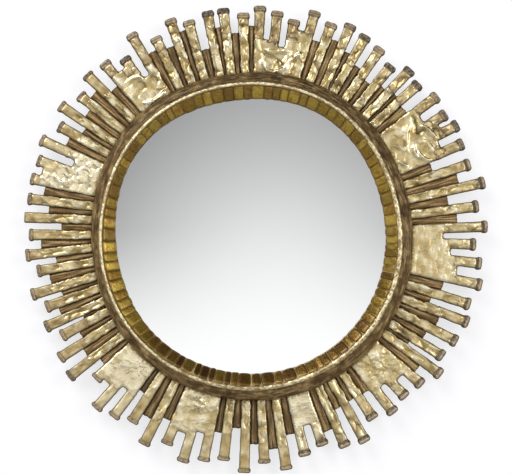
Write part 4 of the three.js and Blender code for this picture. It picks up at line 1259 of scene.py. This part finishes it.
def make_light():
    """A soft studio. The world is white to the camera. To the object it is a bright room whose brightness
    falls off overhead in front, which the flat glass shows as its grey upper half, with a broad soft lamp
    above on the left."""
    world = bpy.data.worlds.new("studio")
    bpy.context.scene.world = world
    world.use_nodes = True
    tree = world.node_tree
    tree.nodes.clear()
    way = add(tree, "ShaderNodeTexCoord").outputs["Generated"]
    split = add(tree, "ShaderNodeSeparateXYZ", {0: way})
    # the part that the flat glass shows: bright low down, grey above, fading to both sides
    rise = add(tree, "ShaderNodeMapRange", {
        "Value": split.outputs["Z"], "From Min": 0.03, "From Max": 0.2, "To Min": 1.06, "To Max": 0.37,
    }, interpolation_type="SMOOTHSTEP")
    shifted = add(tree, "ShaderNodeMath", {0: split.outputs["X"], 1: 0.012}, operation="SUBTRACT")
    beside = add(tree, "ShaderNodeMath", {0: shifted.outputs[0]}, operation="ABSOLUTE")
    falloff = add(tree, "ShaderNodeMapRange", {
        "Value": beside.outputs[0], "From Min": 0.0, "From Max": 0.15, "To Min": 1.0, "To Max": 0.3,
    }, interpolation_type="SMOOTHSTEP")
    low_keep = add(tree, "ShaderNodeMapRange", {
        "Value": split.outputs["Z"], "From Min": 0.03, "From Max": 0.1,
    })
    sides = add(tree, "ShaderNodeMix", {
        "Factor": low_keep.outputs[0], 2: 1.0, 3: falloff.outputs[0],
    }, data_type="FLOAT")
    front_part = add(tree, "ShaderNodeMath", {0: rise.outputs[0], 1: sides.outputs[0]}, operation="MULTIPLY")
    to_glass = add(tree, "ShaderNodeVectorMath", {0: way, 1: (0.004, -0.995, 0.095)}, operation="DISTANCE")
    on_glass = add(tree, "ShaderNodeMapRange", {
        "Value": to_glass.outputs["Value"], "From Min": 0.09, "From Max": 0.078,
    }, interpolation_type="SMOOTHSTEP")
    # the rest of the room: bright around that part and dim further off, with soft boxes above left, on the
    # right, low in front, low left, above right and at both sides
    room = add(tree, "ShaderNodeMapRange", {
        "Value": to_glass.outputs["Value"],
        "From Min": 0.55, "From Max": 0.18, "To Min": 0.14, "To Max": 1.2,
    }, interpolation_type="SMOOTHSTEP")
    above = add(tree, "ShaderNodeMapRange", {
        "Value": split.outputs["Z"], "From Min": 0.1, "From Max": 0.26, "To Min": 1.0, "To Max": 0.72,
    })
    total = add(tree, "ShaderNodeMath", {
        0: room.outputs[0], 1: above.outputs[0],
    }, operation="MULTIPLY").outputs[0]
    for toward, wide, glow in (
        ((-0.45, -0.7, 0.55), 0.44, 1.9), ((0.68, -0.7, 0.2), 0.34, 1.6), ((0.1, -0.8, -0.6), 0.4, 1.45),
        ((-0.75, -0.6, -0.25), 0.3, 1.55), ((0.3, -0.75, 0.6), 0.24, 1.4), ((-1.0, -0.1, 0.0), 0.5, 0.75),
        ((1.0, -0.1, 0.0), 0.5, 0.7),
    ):
        away = add(tree, "ShaderNodeVectorMath", {0: way, 1: toward}, operation="DISTANCE")
        box = add(tree, "ShaderNodeMapRange", {
            "Value": away.outputs["Value"], "From Min": wide, "From Max": 0.6 * wide, "To Max": glow,
        }, interpolation_type="SMOOTHSTEP")
        total = add(tree, "ShaderNodeMath", {0: total, 1: box.outputs[0]}, operation="ADD").outputs[0]
    level = add(tree, "ShaderNodeMix", {
        "Factor": on_glass.outputs[0], 2: total, 3: front_part.outputs[0],
    }, data_type="FLOAT")
    sight = add(tree, "ShaderNodeLightPath")
    final = add(tree, "ShaderNodeMix", {
        "Factor": sight.outputs["Is Camera Ray"], 2: level.outputs[0], 3: 1.0,
    }, data_type="FLOAT")
    back = add(tree, "ShaderNodeBackground", {"Color": (1.0, 1.0, 1.0, 1.0), "Strength": final.outputs[0]})
    add(tree, "ShaderNodeOutputWorld", {"Surface": back.outputs[0]})
    for name, place, size, power in (
        ("soft_lamp", (-1.3, -2.0, 1.9), 1.3, 27.0),
        ("side_lamp", (1.7, -2.2, 0.4), 1.0, 10.0),
    ):
        data = bpy.data.lights.new(name, "AREA")
        data.size = size
        data.energy = power
        lamp = bpy.data.objects.new(name, data)
        lamp.location = place
        aim = -np.array(place) / np.linalg.norm(place)
        lamp.rotation_euler = (math.acos(-aim[2]), 0.0, math.atan2(aim[1], aim[0]) - math.pi / 2.0)
        bpy.context.scene.collection.objects.link(lamp)


def dress_node(node, material):
    """Gives a model's own node its finish."""
    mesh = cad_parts[node].data
    mesh.materials.clear()
    mesh.materials.append(material)


def build():
    gilt, brown, felt, zinc = gilded_resin(), brown_resin(), wool_felt(), zinc_steel()
    for seed, (name, rows) in enumerate(STAR.items()):
        make_gilded(name, rows, gilt, 100 + 37 * seed)
    make_webs(brown)
    make_collar(brown)
    make_bead(pale_gilt())
    make_tiles(amber_mirror(), tile_grout())
    dress_node("ray_plate", brown)
    dress_node("glass_bed", felt)
    dress_node("mirror_glass", silvered_glass())
    dress_node("back_board", birch_plywood())
    for node in ("hanger_strap", "hanger_ring", "strap_screw_1", "strap_screw_2"):
        dress_node(node, zinc)
    make_studio()
    make_light()
    make_camera()
    bpy.context.scene.view_settings.view_transform = "Standard"


build()
